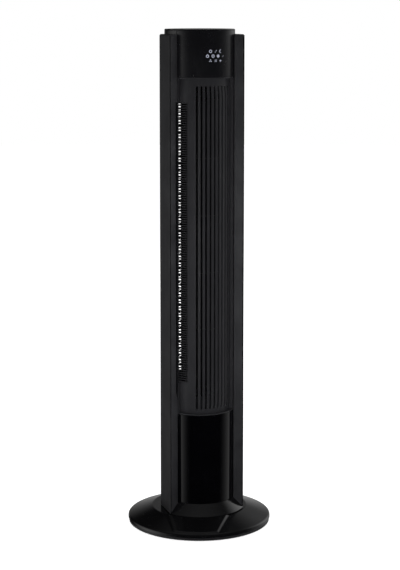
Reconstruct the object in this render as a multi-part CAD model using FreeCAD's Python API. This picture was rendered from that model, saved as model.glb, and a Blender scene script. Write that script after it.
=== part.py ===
import FreeCAD, Part
import math
import os
from FreeCAD import Vector

# Tower fan: a round weighted base carries a slim column that swings on it. The column is a round core
# between two flat side wings, with a slotted outlet in front and fine intake ribs beside and behind it.
# Millimetres. +Z is up, Z = 0 is the floor under the feet, and the swing axis is the Z axis.
# The column faces -Y. The base faces BASE_TURN degrees away from that, because the column has swung.

os.makedirs("parts", exist_ok=True)

# ---- driving dimensions -------------------------------------------------------------------------
HEIGHT = 1040.0            # floor to the top of the cap
BASE_R = 150.0             # outer radius of the base
BASE_TURN = -21.0          # the base's own front, in degrees about Z from the column's front
SEAM = 0.3                 # gap at a parting line between two shells
EASY = 0.15                # gap between a part and the curved face it lies on
RUN_FIT = 0.05             # radial clearance of a shaft in its bearing

# base
FOOT_H = 5.0
FOOT_R = 8.0
FOOT_RING_R = 128.0
FOOT_COUNT = 5
FOOT_SEAT = 1.0
PAN_INSET = 1.5
PAN_TOP = 10.6
PAN_FLOOR = 3.0
PAN_WALL = 3.0
COVER_SPLIT = 0.5
COVER_WALL = 2.8
RIM_TOP = 17.6
RIM_ROUND = 3.0
HUB_MARGIN = 0.8           # how far the base's flat hub reaches beyond the sill's foremost point
HUB_Z = 36.0
HUB_HOLE_R = 52.0
APRON_RAISE = 2.2
APRON_TOP_HALF = 64.0
APRON_END_HALF = 44.0
APRON_END_R = 142.0
APRON_SIDE = 5.0
APRON_LEAN = 0.9           # how far the apron's sides lean in for each millimetre they rise
COVER_BOSS_R = 4.5
COVER_BOSS_RING_R = 114.0
BALLAST_R = 104.0
BALLAST_IN_R = 58.0
BALLAST_H = 7.0

# swivel
POST_FLANGE_R = 46.0
POST_FLANGE_H = 4.0
POST_R = 32.0
TABLE_R = 48.0
TABLE_H = 4.0
JOURNAL_R = 24.0
GEAR_SEAT_R = 20.0
WIRE_BORE_R = 11.0
WASHER_H = 1.2
WASHER_IN_R = 26.0
GEAR_H = 6.0
RING_H = 2.0
GEAR_MODULE = 1.0
GEAR_TEETH = 60
PINION_TEETH = 15
GEAR_BACKLASH = 0.36
GEAR_ADDENDUM = 0.85       # tooth height above the pitch circle, in modules
GEAR_DEDENDUM = 1.25       # tooth depth below the pitch circle, in modules
PRESSURE_ANGLE = 20.0
PINION_SHAFT_R = 2.5
SWING_MOTOR_R = 21.0
SWING_MOTOR_H = 16.0
SWING_MOTOR_OFFSET = 3.0
SWING_PLATE_H = 2.5
PILLAR_R = 4.0
PILLAR_X = 24.0

# column
COLUMN_GAP = 1.7           # air gap between the base's hub and the column
CORE_FWD = 4.5             # the round core's axis lies this far in front of the swing axis
CORE_R = 72.5
SHELL = 2.8
FRONT_LAP = 1.1            # how far, in degrees, the front shells reach behind the wings
COLLAR_H = 21.4
SILL_WALL = 4.5
SPIGOT_LAP = 4.0           # how far the spigot reaches down inside the collar
SPIGOT_RISE = 7.0          # and up inside the shells
SPIGOT_STEP = 3.0
COLLAR_BOSS_R = 5.0
PANEL_TOP = 247.0
HEAD_H = 96.5              # control head and cap together
CAP_H = 2.5
CAP_CHAMFER = 1.2
SKIRT_WALL = 3.0
SKIRT_DEPTH = 8.5
TURNTABLE_H = 5.8
TURNTABLE_HUB_R = 31.0
TURNTABLE_HUB_H = 3.0

# wings
WING_STAND = 7.4           # the outer face stands this far beyond the core's side
WING_ANGLE = 55.9          # the inner front edge, in degrees from the column's front
WING_PROUD = 1.4           # the inner front edge stands this far off the core
WING_BEVEL = 8.1           # the outer front corner lies this far in front of the inner edge
WING_BACK = 22.7           # the outer rear corner lies this far behind the core's axis
WING_REAR_ANGLE = 118.0    # where the wing's rear face meets the core
WING_REAR_ROUND = 3.0
GROOVE_EDGE = 0.7          # distance of the groove on the bevel from the outer front corner
GROOVE_W = 1.8
GROOVE_DEPTH = 1.2
WING_WALL = 2.6
WING_DROP = 10.5           # top of the wings below the top of the cap
WING_TOP_ROUND = 3.5
WING_NOTCH = 4.0
NOTCH_END = 21.0           # the notch beside the intake ends this far below it
NOTCH_SLOPE = 14.0         # length of its sloped end

# outlet
GRILLE_RECESS = 6.5        # the barrel lies this far inside the core
GRILLE_TAPER = 3.5         # and this much further in at its two ends
GRILLE_WALL = 4.0
GRILLE_TAPER_LOW = 29.0    # height of the tapered end above the lower panel
GRILLE_TAPER_HIGH = 38.5   # height of the tapered end below the head
OUTLET_TURN = 9.8          # middle of the slots, in degrees from the column's front
SLOT_COUNT = 9
SLOT_PITCH = 8.2
SLOT_W = 4.0
SLOT_LOW = 11.6            # bottom of the slots above the lower panel
SLOT_HIGH = 17.7           # top of the slots below the head
LEDGE = 2.2
LIP_SPAN = 1.5             # width, in degrees, of the rear shell's inward lips
OUTLET_LEFT = -39.3        # left edge of the outlet barrel, in degrees from the column's front

# side and rear intake
SIDE_ABOVE = 66.0          # bottom of the intakes above the lower panel
SIDE_BELOW = 50.5          # top of the intakes below the head
SCREEN_WALL = 1.6
SCREEN_INSET = 0.4         # the screen lies this far inside the barrel's face
SCREEN_PITCH = 4.8
SCREEN_GAP = 2.8
SCREEN_RIM = 1.0
SCREEN_REACH = 3.5         # how far, in degrees, the screen reaches behind the edge of the rear shell
SCREEN_FLANGE = 1.2
REAR_HALF = 56.0
REAR_COLUMNS = 4
REAR_BAR = 2.0
REAR_PITCH = 7.2
REAR_GAP = 4.0

# blower
IMPELLER_R = 40.0
BLADE_DEPTH = 8.0
BLADE_COUNT = 24
BLADE_T = 1.1
BLADE_SKEW = 13.0
DISC_T = 2.0
IMPELLER_STAGES = 5
IMPELLER_GAP = 10.0        # space between the impeller and a bulkhead
SHAFT_R = 4.0
HUB_COUPLER_R = 9.0
HUB_COUPLER_H = 14.0
BUSH_R = 9.0
BUSH_H = 9.0
BULKHEAD_T = 4.0
BULKHEAD_ABOVE = 39.0      # floor of the air duct above the lower panel
BULKHEAD_BELOW = 38.5      # roof of the air duct below the head
VOLUTE_T = 2.0
VOLUTE_START = 58.0
VOLUTE_END = 192.0
VOLUTE_MARGIN = 7.7        # the volute starts this far inside the shell
VOLUTE_CLEAR = 4.5         # and ends this far from the impeller
TONGUE_CLEAR = 3.5
MOTOR_R = 34.0
MOTOR_H = 46.0
MOTOR_EAR_R = 50.0
MOTOR_EAR_RING_R = 43.0
MOTOR_FLANGE_T = 3.0
GROMMET_H = 7.0
GROMMET_R = 5.0

# electronics
BOARD_T = 1.6
CONTROL_BOARD = 56.0
CONTROL_BOARD_IN = 12.1    # the board lies this far inside the shell's inner face
CONTROL_TURN = 7.7         # middle of the touch controls, in degrees from the column's front
LIGHT_GUIDE = 40.0
POWER_BOARD_W = 66.0
POWER_BOARD_H = 96.0
POWER_BOARD_IN = 27.7      # the board lies this far inside the shell's inner face
POWER_BOARD_Z = 104.0

# fasteners and cord inlet
SCREW_R = 1.5
SCREW_HEAD_R = 3.2
SCREW_HEAD_H = 1.8
GLAND_R = 7.0
GLAND_BORE_R = 2.5
GLAND_FLANGE_R = 9.5
GLAND_Z = 88.0

# ---- values that follow from them ---------------------------------------------------------------
UP = Vector(0, 0, 1)
HEAD_BOTTOM = HEIGHT - HEAD_H
WING_TOP = HEIGHT - WING_DROP
FRONT_SPAN = WING_ANGLE + FRONT_LAP
CORE_IN_R = CORE_R - SHELL
SPIGOT_R = CORE_IN_R - SEAM
WING_X = CORE_R + WING_STAND
WING_INNER_X = (CORE_R + WING_PROUD) * math.sin(math.radians(WING_ANGLE))
WING_INNER_FRONT = CORE_FWD + (CORE_R + WING_PROUD) * math.cos(math.radians(WING_ANGLE))
WING_FRONT = WING_INNER_FRONT + WING_BEVEL
WING_REAR = CORE_FWD - WING_BACK
COLLAR_R = math.hypot(WING_X, WING_FRONT - CORE_FWD)
HUB_R = CORE_FWD + COLLAR_R + HUB_MARGIN
GRILLE_R = CORE_R - GRILLE_RECESS
GRILLE_END_R = GRILLE_R - GRILLE_TAPER
SIDE_LOW = PANEL_TOP + SIDE_ABOVE
SIDE_HIGH = HEAD_BOTTOM - SIDE_BELOW
BULKHEAD_LOW = PANEL_TOP + BULKHEAD_ABOVE
BULKHEAD_HIGH = HEAD_BOTTOM - BULKHEAD_BELOW
BLADE_IN_R = IMPELLER_R - BLADE_DEPTH
VOLUTE_START_R = CORE_IN_R - VOLUTE_MARGIN
VOLUTE_END_R = IMPELLER_R + VOLUTE_CLEAR
TONGUE_R = IMPELLER_R + TONGUE_CLEAR
CONTROL_BOARD_R = CORE_IN_R - CONTROL_BOARD_IN
POWER_BOARD_Y = CORE_IN_R - POWER_BOARD_IN
PAN_R = BASE_R - PAN_INSET
PAN_FLOOR_TOP = FOOT_H + PAN_FLOOR
COVER_BOTTOM = PAN_TOP + COVER_SPLIT
TABLE_TOP = HUB_Z
WASHER_TOP = TABLE_TOP + WASHER_H
COLUMN_Z = HUB_Z + COLUMN_GAP
TURNTABLE_TOP = COLUMN_Z + TURNTABLE_H
GEAR_Z = TURNTABLE_TOP + TURNTABLE_HUB_H + 0.5
GEAR_TOP = GEAR_Z + GEAR_H
GEAR_PITCH_R = GEAR_MODULE * GEAR_TEETH / 2
PINION_PITCH_R = GEAR_MODULE * PINION_TEETH / 2
PINION_Y = GEAR_PITCH_R + PINION_PITCH_R
SWING_PLATE_Z = GEAR_TOP + 3.0
SWING_MOTOR_Z = SWING_PLATE_Z + SWING_PLATE_H
COLLAR_TOP = COLUMN_Z + COLLAR_H
CAP_Z = HEIGHT - CAP_H
HEAD_TOP = CAP_Z - SEAM
GRILLE_Z0 = PANEL_TOP + SEAM
GRILLE_Z1 = HEAD_BOTTOM - SEAM
REAR_EDGE = FRONT_SPAN + 1.0
IMPELLER_Z0 = BULKHEAD_LOW + BULKHEAD_T + IMPELLER_GAP
IMPELLER_Z1 = BULKHEAD_HIGH - IMPELLER_GAP
MOTOR_FLANGE_Z = BULKHEAD_LOW - GROMMET_H - MOTOR_FLANGE_T
MOTOR_Z = MOTOR_FLANGE_Z - MOTOR_H


# ---- building blocks ----------------------------------------------------------------------------
def core_point(radius, angle, z=0.0):
    """A point about the core's axis. The angle is in degrees from the front, positive towards +X."""
    a = math.radians(angle)
    return Vector(radius * math.sin(a), -CORE_FWD - radius * math.cos(a), z)


def cylinder(radius, z0, z1, x=0.0, y=0.0):
    return Part.makeCylinder(radius, z1 - z0, Vector(x, y, z0), UP)


def core_disc(radius, z0, z1):
    return cylinder(radius, z0, z1, 0.0, -CORE_FWD)


def tube(outer, inner, z0, z1, x=0.0, y=0.0):
    return cylinder(outer, z0, z1, x, y).cut(cylinder(inner, z0 - 1, z1 + 1, x, y))


def rod(radius, start, end):
    """A round bar between two points."""
    return Part.makeCylinder(radius, (end - start).Length, start, end - start)


def fuse_all(shapes):
    return shapes[0].fuse(shapes[1:]).removeSplitter()


def cut_all(shape, tools):
    return shape.cut(Part.makeCompound(tools))


def prism(points, z0, z1):
    """A straight prism over a plan outline given as (x, forward) pairs."""
    corners = [Vector(x, -forward, z0) for x, forward in points]
    face = Part.Face(Part.makePolygon(corners + corners[:1]))
    return face.extrude(Vector(0, 0, z1 - z0))


def arc_wall(inner, outer, a0, a1, z0, z1):
    """An upright wall curved about the core's axis, from angle a0 to a1."""
    mid = (a0 + a1) / 2
    edges = [
        Part.Arc(core_point(outer, a0, z0), core_point(outer, mid, z0), core_point(outer, a1, z0)).toShape(),
        Part.LineSegment(core_point(outer, a1, z0), core_point(inner, a1, z0)).toShape(),
        Part.Arc(core_point(inner, a1, z0), core_point(inner, mid, z0), core_point(inner, a0, z0)).toShape(),
        Part.LineSegment(core_point(inner, a0, z0), core_point(outer, a0, z0)).toShape(),
    ]
    return Part.Face(Part.Wire(edges)).extrude(Vector(0, 0, z1 - z0))


def core_revolve(profile, a0, a1):
    """A (radius, z) outline carried about the core's axis from angle a0 to a1."""
    corners = [core_point(r, a0, z) for r, z in profile]
    face = Part.Face(Part.makePolygon(corners + corners[:1]))
    return face.revolve(core_point(0, 0), UP, a1 - a0)


def axis_revolve(profile):
    """A (radius, z) outline turned all the way round the swing axis."""
    corners = [Vector(r, 0, z) for r, z in profile]
    face = Part.Face(Part.makePolygon(corners + corners[:1]))
    return face.revolve(Vector(0, 0, 0), UP, 360)


def radial_box(angle, r0, r1, width, z0, z1):
    """A box that points away from the core's axis at one angle."""
    box = Part.makeBox(width, r1 - r0, z1 - z0, Vector(-width / 2, -r1, z0))
    box.rotate(Vector(0, 0, 0), UP, angle)
    box.translate(Vector(0, -CORE_FWD, 0))
    return box


def radial_slot(angle, r0, r1, width, z0, z1):
    """An upright slot with round ends that points away from the core's axis."""
    low = z0 + width / 2
    high = z1 - width / 2
    start = core_point(r0, angle)
    end = core_point(r1, angle)
    ends = [rod(width / 2, start + Vector(0, 0, z), end + Vector(0, 0, z)) for z in (low, high)]
    return fuse_all([radial_box(angle, r0, r1, width, low, high)] + ends)


def turned(shape):
    """A base piece that was drawn facing -Y, turned to the base's own front."""
    shape.rotate(Vector(0, 0, 0), UP, BASE_TURN)
    return shape


def screw(tip, head):
    """A pan-head screw from the underside of its head to its tip."""
    along = (head - tip).normalize()
    shank = rod(SCREW_R, tip, head)
    cap = rod(SCREW_HEAD_R, head, head + along * SCREW_HEAD_H)
    return shank.fuse(cap).removeSplitter()


def screw_hole(tip, head):
    """What a screw takes out of the parts it joins, with its head's recess."""
    along = (head - tip).normalize()
    shank = rod(SCREW_R, tip, head)
    recess = rod(SCREW_HEAD_R + EASY, head, head + along * (SCREW_HEAD_H + 3))
    return shank.fuse(recess)


def ring_points(count, radius, first=0.0):
    """Points on a circle about the swing axis, counted from the front."""
    angles = [math.radians(first + 360 * i / count) for i in range(count)]
    return [(radius * math.sin(a), -radius * math.cos(a)) for a in angles]


def involute(angle):
    return math.tan(angle) - angle


def gear(teeth, z0, z1, phase):
    """A spur gear about Z with involute flanks. One tooth points at the phase angle from +X."""
    pitch_r = GEAR_MODULE * teeth / 2
    base_r = pitch_r * math.cos(math.radians(PRESSURE_ANGLE))
    tip_r = pitch_r + GEAR_ADDENDUM * GEAR_MODULE
    root_r = pitch_r - GEAR_DEDENDUM * GEAR_MODULE
    half = math.pi / (2 * teeth) - GEAR_BACKLASH / (2 * pitch_r)
    half_at_base = half + involute(math.radians(PRESSURE_ANGLE))
    start_r = max(base_r, root_r)
    steps = 5
    flank = [(root_r, half_at_base)] if root_r < base_r else []
    for i in range(steps + 1):
        r = start_r + (tip_r - start_r) * i / steps
        flank.append((r, half_at_base - involute(math.acos(min(1.0, base_r / r)))))
    outline = []
    for tooth in range(teeth):
        middle = math.radians(phase) + 2 * math.pi * tooth / teeth
        outline += [(r, middle - h) for r, h in flank]
        outline += [(r, middle + h) for r, h in reversed(flank)]
    corners = [Vector(r * math.cos(a), r * math.sin(a), z0) for r, a in outline]
    return Part.Face(Part.makePolygon(corners + corners[:1])).extrude(Vector(0, 0, z1 - z0))


# ---- base ---------------------------------------------------------------------------------------
def base_cover():
    """The shallow cone that is seen from above, with a raised flat apron at its front."""
    slope = (HUB_Z - RIM_TOP) / (BASE_R - HUB_R)
    outer = [(HUB_HOLE_R, HUB_Z), (HUB_R, HUB_Z), (BASE_R, RIM_TOP), (BASE_R, COVER_BOTTOM)]
    inner_edge = BASE_R - COVER_WALL
    inner_rim = RIM_TOP - COVER_WALL + slope * COVER_WALL
    inner = [(inner_edge, COVER_BOTTOM), (inner_edge, inner_rim), (HUB_R, HUB_Z - COVER_WALL)]
    cone = axis_revolve(outer + inner + [(HUB_HOLE_R, HUB_Z - COVER_WALL)])
    rim = [e for e in cone.Edges if e.BoundBox.ZMin > RIM_TOP - 0.01 and e.BoundBox.ZMax < RIM_TOP + 0.01]
    cone = cone.makeFillet(min(RIM_ROUND, COVER_WALL), rim)

    raised = axis_revolve([(HUB_HOLE_R, HUB_Z - COVER_WALL), (HUB_R, HUB_Z - COVER_WALL),
                           (BASE_R, RIM_TOP - COVER_WALL), (BASE_R, RIM_TOP + APRON_RAISE),
                           (HUB_R, HUB_Z + APRON_RAISE), (HUB_HOLE_R, HUB_Z + APRON_RAISE)])
    apron = raised.common(apron_wedge(slope))
    hub_clear = cylinder(HUB_R, HUB_Z, HUB_Z + APRON_RAISE + 1)
    apron = apron.cut(hub_clear)

    bosses = [cylinder(COVER_BOSS_R, PAN_FLOOR_TOP + EASY, HUB_Z - COVER_WALL - slope * (COVER_BOSS_RING_R - HUB_R)
                       + 1.0, x, y) for x, y in ring_points(FOOT_COUNT, COVER_BOSS_RING_R)]
    cover = fuse_all([cone, apron] + bosses)
    return turned(cut_all(cover, [screw_hole(*ends) for ends in base_screw_ends()]))


def apron_wedge(slope):
    """The space between the apron's two leaning sides, open at the top and closed by a leaning front."""
    tall = HUB_Z
    sections = []
    for half, radius in ((APRON_TOP_HALF, HUB_R), (APRON_END_HALF, APRON_END_R)):
        top = HUB_Z - slope * (radius - HUB_R) + APRON_RAISE
        forward = radius * math.cos(math.asin(half / radius))
        levels = (top - APRON_SIDE, top + tall)
        reach = [half + (top - z) * APRON_LEAN for z in levels]
        ahead = 0.0 if radius == HUB_R else APRON_END_R - forward
        corners = [(-reach[0], levels[0]), (-reach[1], levels[1]), (reach[1], levels[1]), (reach[0], levels[0])]
        points = [Vector(x, -forward - ahead, z) for x, z in corners]
        sections.append(Part.makePolygon(points + points[:1]))
    return Part.makeLoft(sections, True, True)


def base_screw_ends():
    """Tip and head of each screw that holds the pan under the cover."""
    head = FOOT_H + SCREW_HEAD_H
    return [(Vector(x, y, PAN_FLOOR_TOP + 9), Vector(x, y, head))
            for x, y in ring_points(FOOT_COUNT, COVER_BOSS_RING_R)]


def pivot_screw_ends():
    """Tip and head of each screw that holds the swivel post on the pan."""
    head = FOOT_H + SCREW_HEAD_H
    radius = (POST_R + POST_FLANGE_R) / 2
    return [(Vector(x, y, PAN_FLOOR_TOP + POST_FLANGE_H - 0.5), Vector(x, y, head))
            for x, y in ring_points(4, radius, 45.0)]


def base_pan():
    """The tray under the cover. Its edge shows as the lower half of the rim."""
    outline = [(0.0, FOOT_H), (PAN_R, FOOT_H), (PAN_R, PAN_TOP), (PAN_R - PAN_WALL, PAN_TOP),
               (PAN_R - PAN_WALL, PAN_FLOOR_TOP), (0.0, PAN_FLOOR_TOP)]
    pan = axis_revolve(outline)
    seats = [cylinder(FOOT_R, FOOT_H - 1, FOOT_H + FOOT_SEAT, x, y) for x, y in foot_places()]
    holes = [screw_hole(*ends) for ends in base_screw_ends() + pivot_screw_ends()]
    return turned(cut_all(pan, seats + holes))


def foot_places():
    return ring_points(FOOT_COUNT, FOOT_RING_R, 180.0 / FOOT_COUNT)


def rubber_feet():
    feet = []
    for x, y in foot_places():
        foot = cylinder(FOOT_R, 0.0, FOOT_H + FOOT_SEAT, x, y)
        low = [e for e in foot.Edges if e.BoundBox.ZMax < 0.01]
        feet.append(foot.makeFillet(1.2, low))
    return turned(Part.makeCompound(feet))


def ballast_plate():
    """A steel ring that lies on the pan and keeps the tall column upright."""
    ring = tube(BALLAST_R, BALLAST_IN_R, PAN_FLOOR_TOP, PAN_FLOOR_TOP + BALLAST_H)
    reliefs = [cylinder(COVER_BOSS_R + 1, PAN_FLOOR_TOP - 1, PAN_FLOOR_TOP + BALLAST_H + 1, x, y)
               for x, y in ring_points(FOOT_COUNT, COVER_BOSS_RING_R)]
    return turned(cut_all(ring, reliefs))


def pivot_post():
    """The fixed swivel: a flanged post with a table for the washer and a journal for the turntable."""
    outline = [(WIRE_BORE_R, PAN_FLOOR_TOP), (POST_FLANGE_R, PAN_FLOOR_TOP),
               (POST_FLANGE_R, PAN_FLOOR_TOP + POST_FLANGE_H), (POST_R, PAN_FLOOR_TOP + POST_FLANGE_H),
               (POST_R, TABLE_TOP - TABLE_H - (TABLE_R - POST_R) / 2), (TABLE_R, TABLE_TOP - TABLE_H),
               (TABLE_R, TABLE_TOP), (JOURNAL_R, TABLE_TOP), (JOURNAL_R, GEAR_Z), (GEAR_SEAT_R, GEAR_Z),
               (GEAR_SEAT_R, GEAR_TOP), (WIRE_BORE_R, GEAR_TOP)]
    post = axis_revolve(outline)
    holes = [turned(screw_hole(*ends)) for ends in pivot_screw_ends()]
    holes += [screw_hole(*ends) for ends in ring_screw_ends()]
    return cut_all(post, holes)


def ring_screw_ends():
    """Tip and head of each screw that holds the retaining ring on the post."""
    radius = (WIRE_BORE_R + GEAR_SEAT_R) / 2
    head = GEAR_TOP + RING_H
    return [(Vector(x, y, GEAR_TOP - 8), Vector(x, y, head)) for x, y in ring_points(3, radius)]


def retaining_ring():
    """The ring that keeps the fixed gear, and so the column, on the post."""
    ring = tube(JOURNAL_R, WIRE_BORE_R, GEAR_TOP, GEAR_TOP + RING_H)
    return cut_all(ring, [screw_hole(*ends) for ends in ring_screw_ends()])


def fixed_gear():
    """The gear that stays with the base. A gap between two teeth faces the pinion at +Y."""
    phase = 90.0 + 180.0 / GEAR_TEETH
    return gear(GEAR_TEETH, GEAR_Z, GEAR_TOP, phase).cut(cylinder(GEAR_SEAT_R, GEAR_Z - 1, GEAR_TOP + 1))


# ---- swing drive --------------------------------------------------------------------------------
def swing_pinion():
    """The pinion that rolls round the fixed gear. One of its teeth points back at the gear."""
    toothed = gear(PINION_TEETH, GEAR_Z - 0.2, GEAR_TOP + 0.2, -90.0)
    toothed = toothed.cut(cylinder(PINION_SHAFT_R, GEAR_Z - 2, GEAR_TOP + 2))
    toothed.translate(Vector(0, PINION_Y, 0))
    return toothed


def pinion_shaft():
    return cylinder(PINION_SHAFT_R, GEAR_Z - 0.2, SWING_MOTOR_Z + SWING_MOTOR_H - 4, 0.0, PINION_Y)


def pillar_places():
    return [(side * PILLAR_X, PINION_Y + SWING_MOTOR_OFFSET) for side in (-1, 1)]


def swing_screw_ends():
    head = SWING_MOTOR_Z + 3.0
    return [(Vector(x, y, SWING_PLATE_Z - 7), Vector(x, y, head)) for x, y in pillar_places()]


def swing_plate():
    """The plate that carries the swing motor above the pinion, on two pillars."""
    middle_y = PINION_Y + SWING_MOTOR_OFFSET
    plate = fuse_all([cylinder(SWING_MOTOR_R - 1, SWING_PLATE_Z, SWING_MOTOR_Z, 0.0, middle_y)] +
                     [cylinder(PILLAR_R + 1.5, SWING_PLATE_Z, SWING_MOTOR_Z, x, y) for x, y in pillar_places()])
    holes = [cylinder(PINION_SHAFT_R + 1, SWING_PLATE_Z - 1, SWING_MOTOR_Z + 1, 0.0, PINION_Y)]
    holes += [rod(SCREW_R, *ends) for ends in swing_screw_ends()]
    return cut_all(plate, holes)


def swing_motor():
    """A flat geared motor with two ears. Its bearing holds the pinion's shaft."""
    middle_y = PINION_Y + SWING_MOTOR_OFFSET
    top = SWING_MOTOR_Z + SWING_MOTOR_H
    body = cylinder(SWING_MOTOR_R, SWING_MOTOR_Z, top, 0.0, middle_y)
    reliefs = [cylinder(SCREW_HEAD_R + 0.8, SWING_MOTOR_Z + 3, top + 1, x, y) for x, y in pillar_places()]
    ears = [cylinder(PILLAR_R, SWING_MOTOR_Z, SWING_MOTOR_Z + 3, x, y) for x, y in pillar_places()]
    whole = cut_all(fuse_all([body] + ears), reliefs)
    holes = [cylinder(PINION_SHAFT_R + RUN_FIT, SWING_MOTOR_Z - 1, top - 3, 0.0, PINION_Y)]
    holes += [rod(SCREW_R, *ends) for ends in swing_screw_ends()]
    return cut_all(whole, holes)


# ---- column structure ---------------------------------------------------------------------------
COLLAR_BOSS_RING_R = CORE_IN_R - 4.5
COLLAR_BOSS_ANGLES = (45.0, 135.0, 225.0, 315.0)


def collar_screw_ends():
    places = [core_point(COLLAR_BOSS_RING_R, a) for a in COLLAR_BOSS_ANGLES]
    return [(p + Vector(0, 0, TURNTABLE_TOP + 8), p + Vector(0, 0, COLUMN_Z + SCREW_HEAD_H)) for p in places]


def turntable():
    """The column's floor, with a hub that turns on the post's journal."""
    floor = core_disc(SPIGOT_R, COLUMN_Z, TURNTABLE_TOP)
    hub = cylinder(TURNTABLE_HUB_R, COLUMN_Z, TURNTABLE_TOP + TURNTABLE_HUB_H)
    pillars = [cylinder(PILLAR_R, TURNTABLE_TOP, SWING_PLATE_Z, x, y) for x, y in pillar_places()]
    holes = [cylinder(JOURNAL_R + RUN_FIT, COLUMN_Z - 1, GEAR_Z + 1)]
    holes += [screw_hole(*ends) for ends in collar_screw_ends()]
    holes += [rod(SCREW_R, *ends) for ends in swing_screw_ends()]
    return cut_all(fuse_all([floor, hub] + pillars), holes)


def foot_collar():
    """The sloped sill under the front panel, on a ring that the shells stand on."""
    cone = Part.makeCone(COLLAR_R, CORE_R, COLLAR_H, core_point(0, 0, COLUMN_Z), UP)
    hollow = Part.makeCone(COLLAR_R - SILL_WALL, CORE_R - SILL_WALL, COLLAR_H, core_point(0, 0, COLUMN_Z), UP)
    lean = (WING_FRONT - WING_INNER_FRONT) / (WING_X - WING_INNER_X)
    apex = WING_INNER_FRONT - lean * WING_INNER_X
    reach = 2 * WING_X
    front = prism([(0, apex), (reach, apex + lean * reach), (reach, 2 * reach), (-reach, 2 * reach),
                   (-reach, apex + lean * reach)], COLUMN_Z, COLLAR_TOP)
    sill = cone.cut(hollow).common(front)
    ring = arc_wall(CORE_IN_R, CORE_R, 0, 180, COLUMN_Z, COLLAR_TOP).fuse(
        arc_wall(CORE_IN_R, CORE_R, 180, 360, COLUMN_Z, COLLAR_TOP))
    low = COLLAR_TOP - SPIGOT_LAP
    high = COLLAR_TOP + SPIGOT_RISE
    spigot_in_r = SPIGOT_R - SKIRT_WALL
    spigot = arc_wall(spigot_in_r, SPIGOT_R, 0, 180, low, high).fuse(
        arc_wall(spigot_in_r, SPIGOT_R, 180, 360, low, high))
    step = arc_wall(spigot_in_r, CORE_IN_R + 1, 0, 180, low, low + SPIGOT_STEP).fuse(
        arc_wall(spigot_in_r, CORE_IN_R + 1, 180, 360, low, low + SPIGOT_STEP))
    bosses = []
    for angle in COLLAR_BOSS_ANGLES:
        middle = core_point(COLLAR_BOSS_RING_R, angle)
        bosses.append(cylinder(COLLAR_BOSS_R, TURNTABLE_TOP, low + SPIGOT_STEP, middle.x, middle.y))
    collar = fuse_all([ring, sill, step, spigot] + bosses)
    holes = [screw_hole(*ends) for ends in collar_screw_ends()]
    holes += [rod(SCREW_R, *ends) for ends in housing_screw_ends()]
    holes.append(cylinder(SWING_MOTOR_R + SEAM, SWING_MOTOR_Z, high + 1, 0.0, PINION_Y + SWING_MOTOR_OFFSET))
    return cut_all(collar, holes)


def lower_panel():
    """The plain front shell between the sill and the outlet."""
    return arc_wall(CORE_IN_R, CORE_R, -FRONT_SPAN, FRONT_SPAN, COLLAR_TOP + SEAM, PANEL_TOP)


HOUSING_SCREW_ANGLES = (150.0, 210.0)


def housing_screw_ends():
    """Tip and head of each screw that holds the rear shell, all driven from behind."""
    levels = (COLLAR_TOP + 4.0, BULKHEAD_LOW + BULKHEAD_T / 2 + 4, BULKHEAD_HIGH + BULKHEAD_T / 2 - 4)
    return [(core_point(CORE_R - 12, a, z), core_point(CORE_R - 1.2, a, z))
            for z in levels for a in HOUSING_SCREW_ANGLES]


def power_posts():
    """Tip and root of each post that carries the power board."""
    across = POWER_BOARD_W / 2 - 5
    root = math.sqrt((CORE_R - SHELL / 2) ** 2 - across ** 2) - CORE_FWD
    heights = (POWER_BOARD_Z + 5, POWER_BOARD_Z + POWER_BOARD_H - 5)
    return [(Vector(side * across, POWER_BOARD_Y + BOARD_T, z), Vector(side * across, root, z))
            for side in (-1, 1) for z in heights]


def rear_housing():
    """The shell behind the wings, with the rear intake cut through it and inward lips at its edges."""
    z0 = COLLAR_TOP + SEAM
    shell = arc_wall(CORE_IN_R, CORE_R, REAR_EDGE, 360 - REAR_EDGE, z0, HEAD_TOP)
    lip_in = GRILLE_R - SCREEN_INSET - SCREEN_WALL
    lips = [arc_wall(lip_in, CORE_IN_R + 1, REAR_EDGE, REAR_EDGE + LIP_SPAN, GRILLE_Z0, GRILLE_Z1),
            arc_wall(lip_in, CORE_IN_R + 1, -REAR_EDGE - LIP_SPAN, -REAR_EDGE, GRILLE_Z0, SIDE_LOW),
            arc_wall(lip_in, CORE_IN_R + 1, -REAR_EDGE - LIP_SPAN, -REAR_EDGE, SIDE_HIGH, GRILLE_Z1)]
    posts = [rod(3.5, *ends) for ends in power_posts()]
    shell = fuse_all([shell] + lips + posts)

    width = (2 * REAR_HALF - (REAR_COLUMNS - 1) * REAR_BAR) / REAR_COLUMNS
    chord = 2 * CORE_R * math.sin(math.radians(width / 2))
    rows = int((SIDE_HIGH - SIDE_LOW) / REAR_PITCH)
    cuts = []
    for column in range(REAR_COLUMNS):
        angle = 180 - REAR_HALF + width / 2 + column * (width + REAR_BAR)
        for row in range(rows):
            z = SIDE_LOW + row * REAR_PITCH
            cuts.append(radial_box(angle, CORE_IN_R - 10, CORE_R + 2, chord, z, z + REAR_GAP))
    cuts += [screw_hole(*ends) for ends in housing_screw_ends()]
    cuts += [rod(SCREW_R, *ends) for ends in wing_screw_ends()]
    cuts.append(rod(GLAND_R, core_point(CORE_R - 20, 180, GLAND_Z), core_point(CORE_R + 5, 180, GLAND_Z)))
    return cut_all(shell, cuts)


WING_SCREW_ANGLES = (88.0, -88.0)


def wing_screw_ends():
    """Tip and head of each screw that holds a wing, all driven from inside the rear shell."""
    low = COLLAR_TOP + 60
    high = HEAD_TOP - 60
    levels = (low, (low + BULKHEAD_LOW) / 2 + 15, high - 25, high + 25)
    return [(core_point(CORE_R + WING_WALL - 0.6, a, z), core_point(CORE_IN_R - EASY, a, z))
            for a in WING_SCREW_ANGLES for z in levels]


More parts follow.
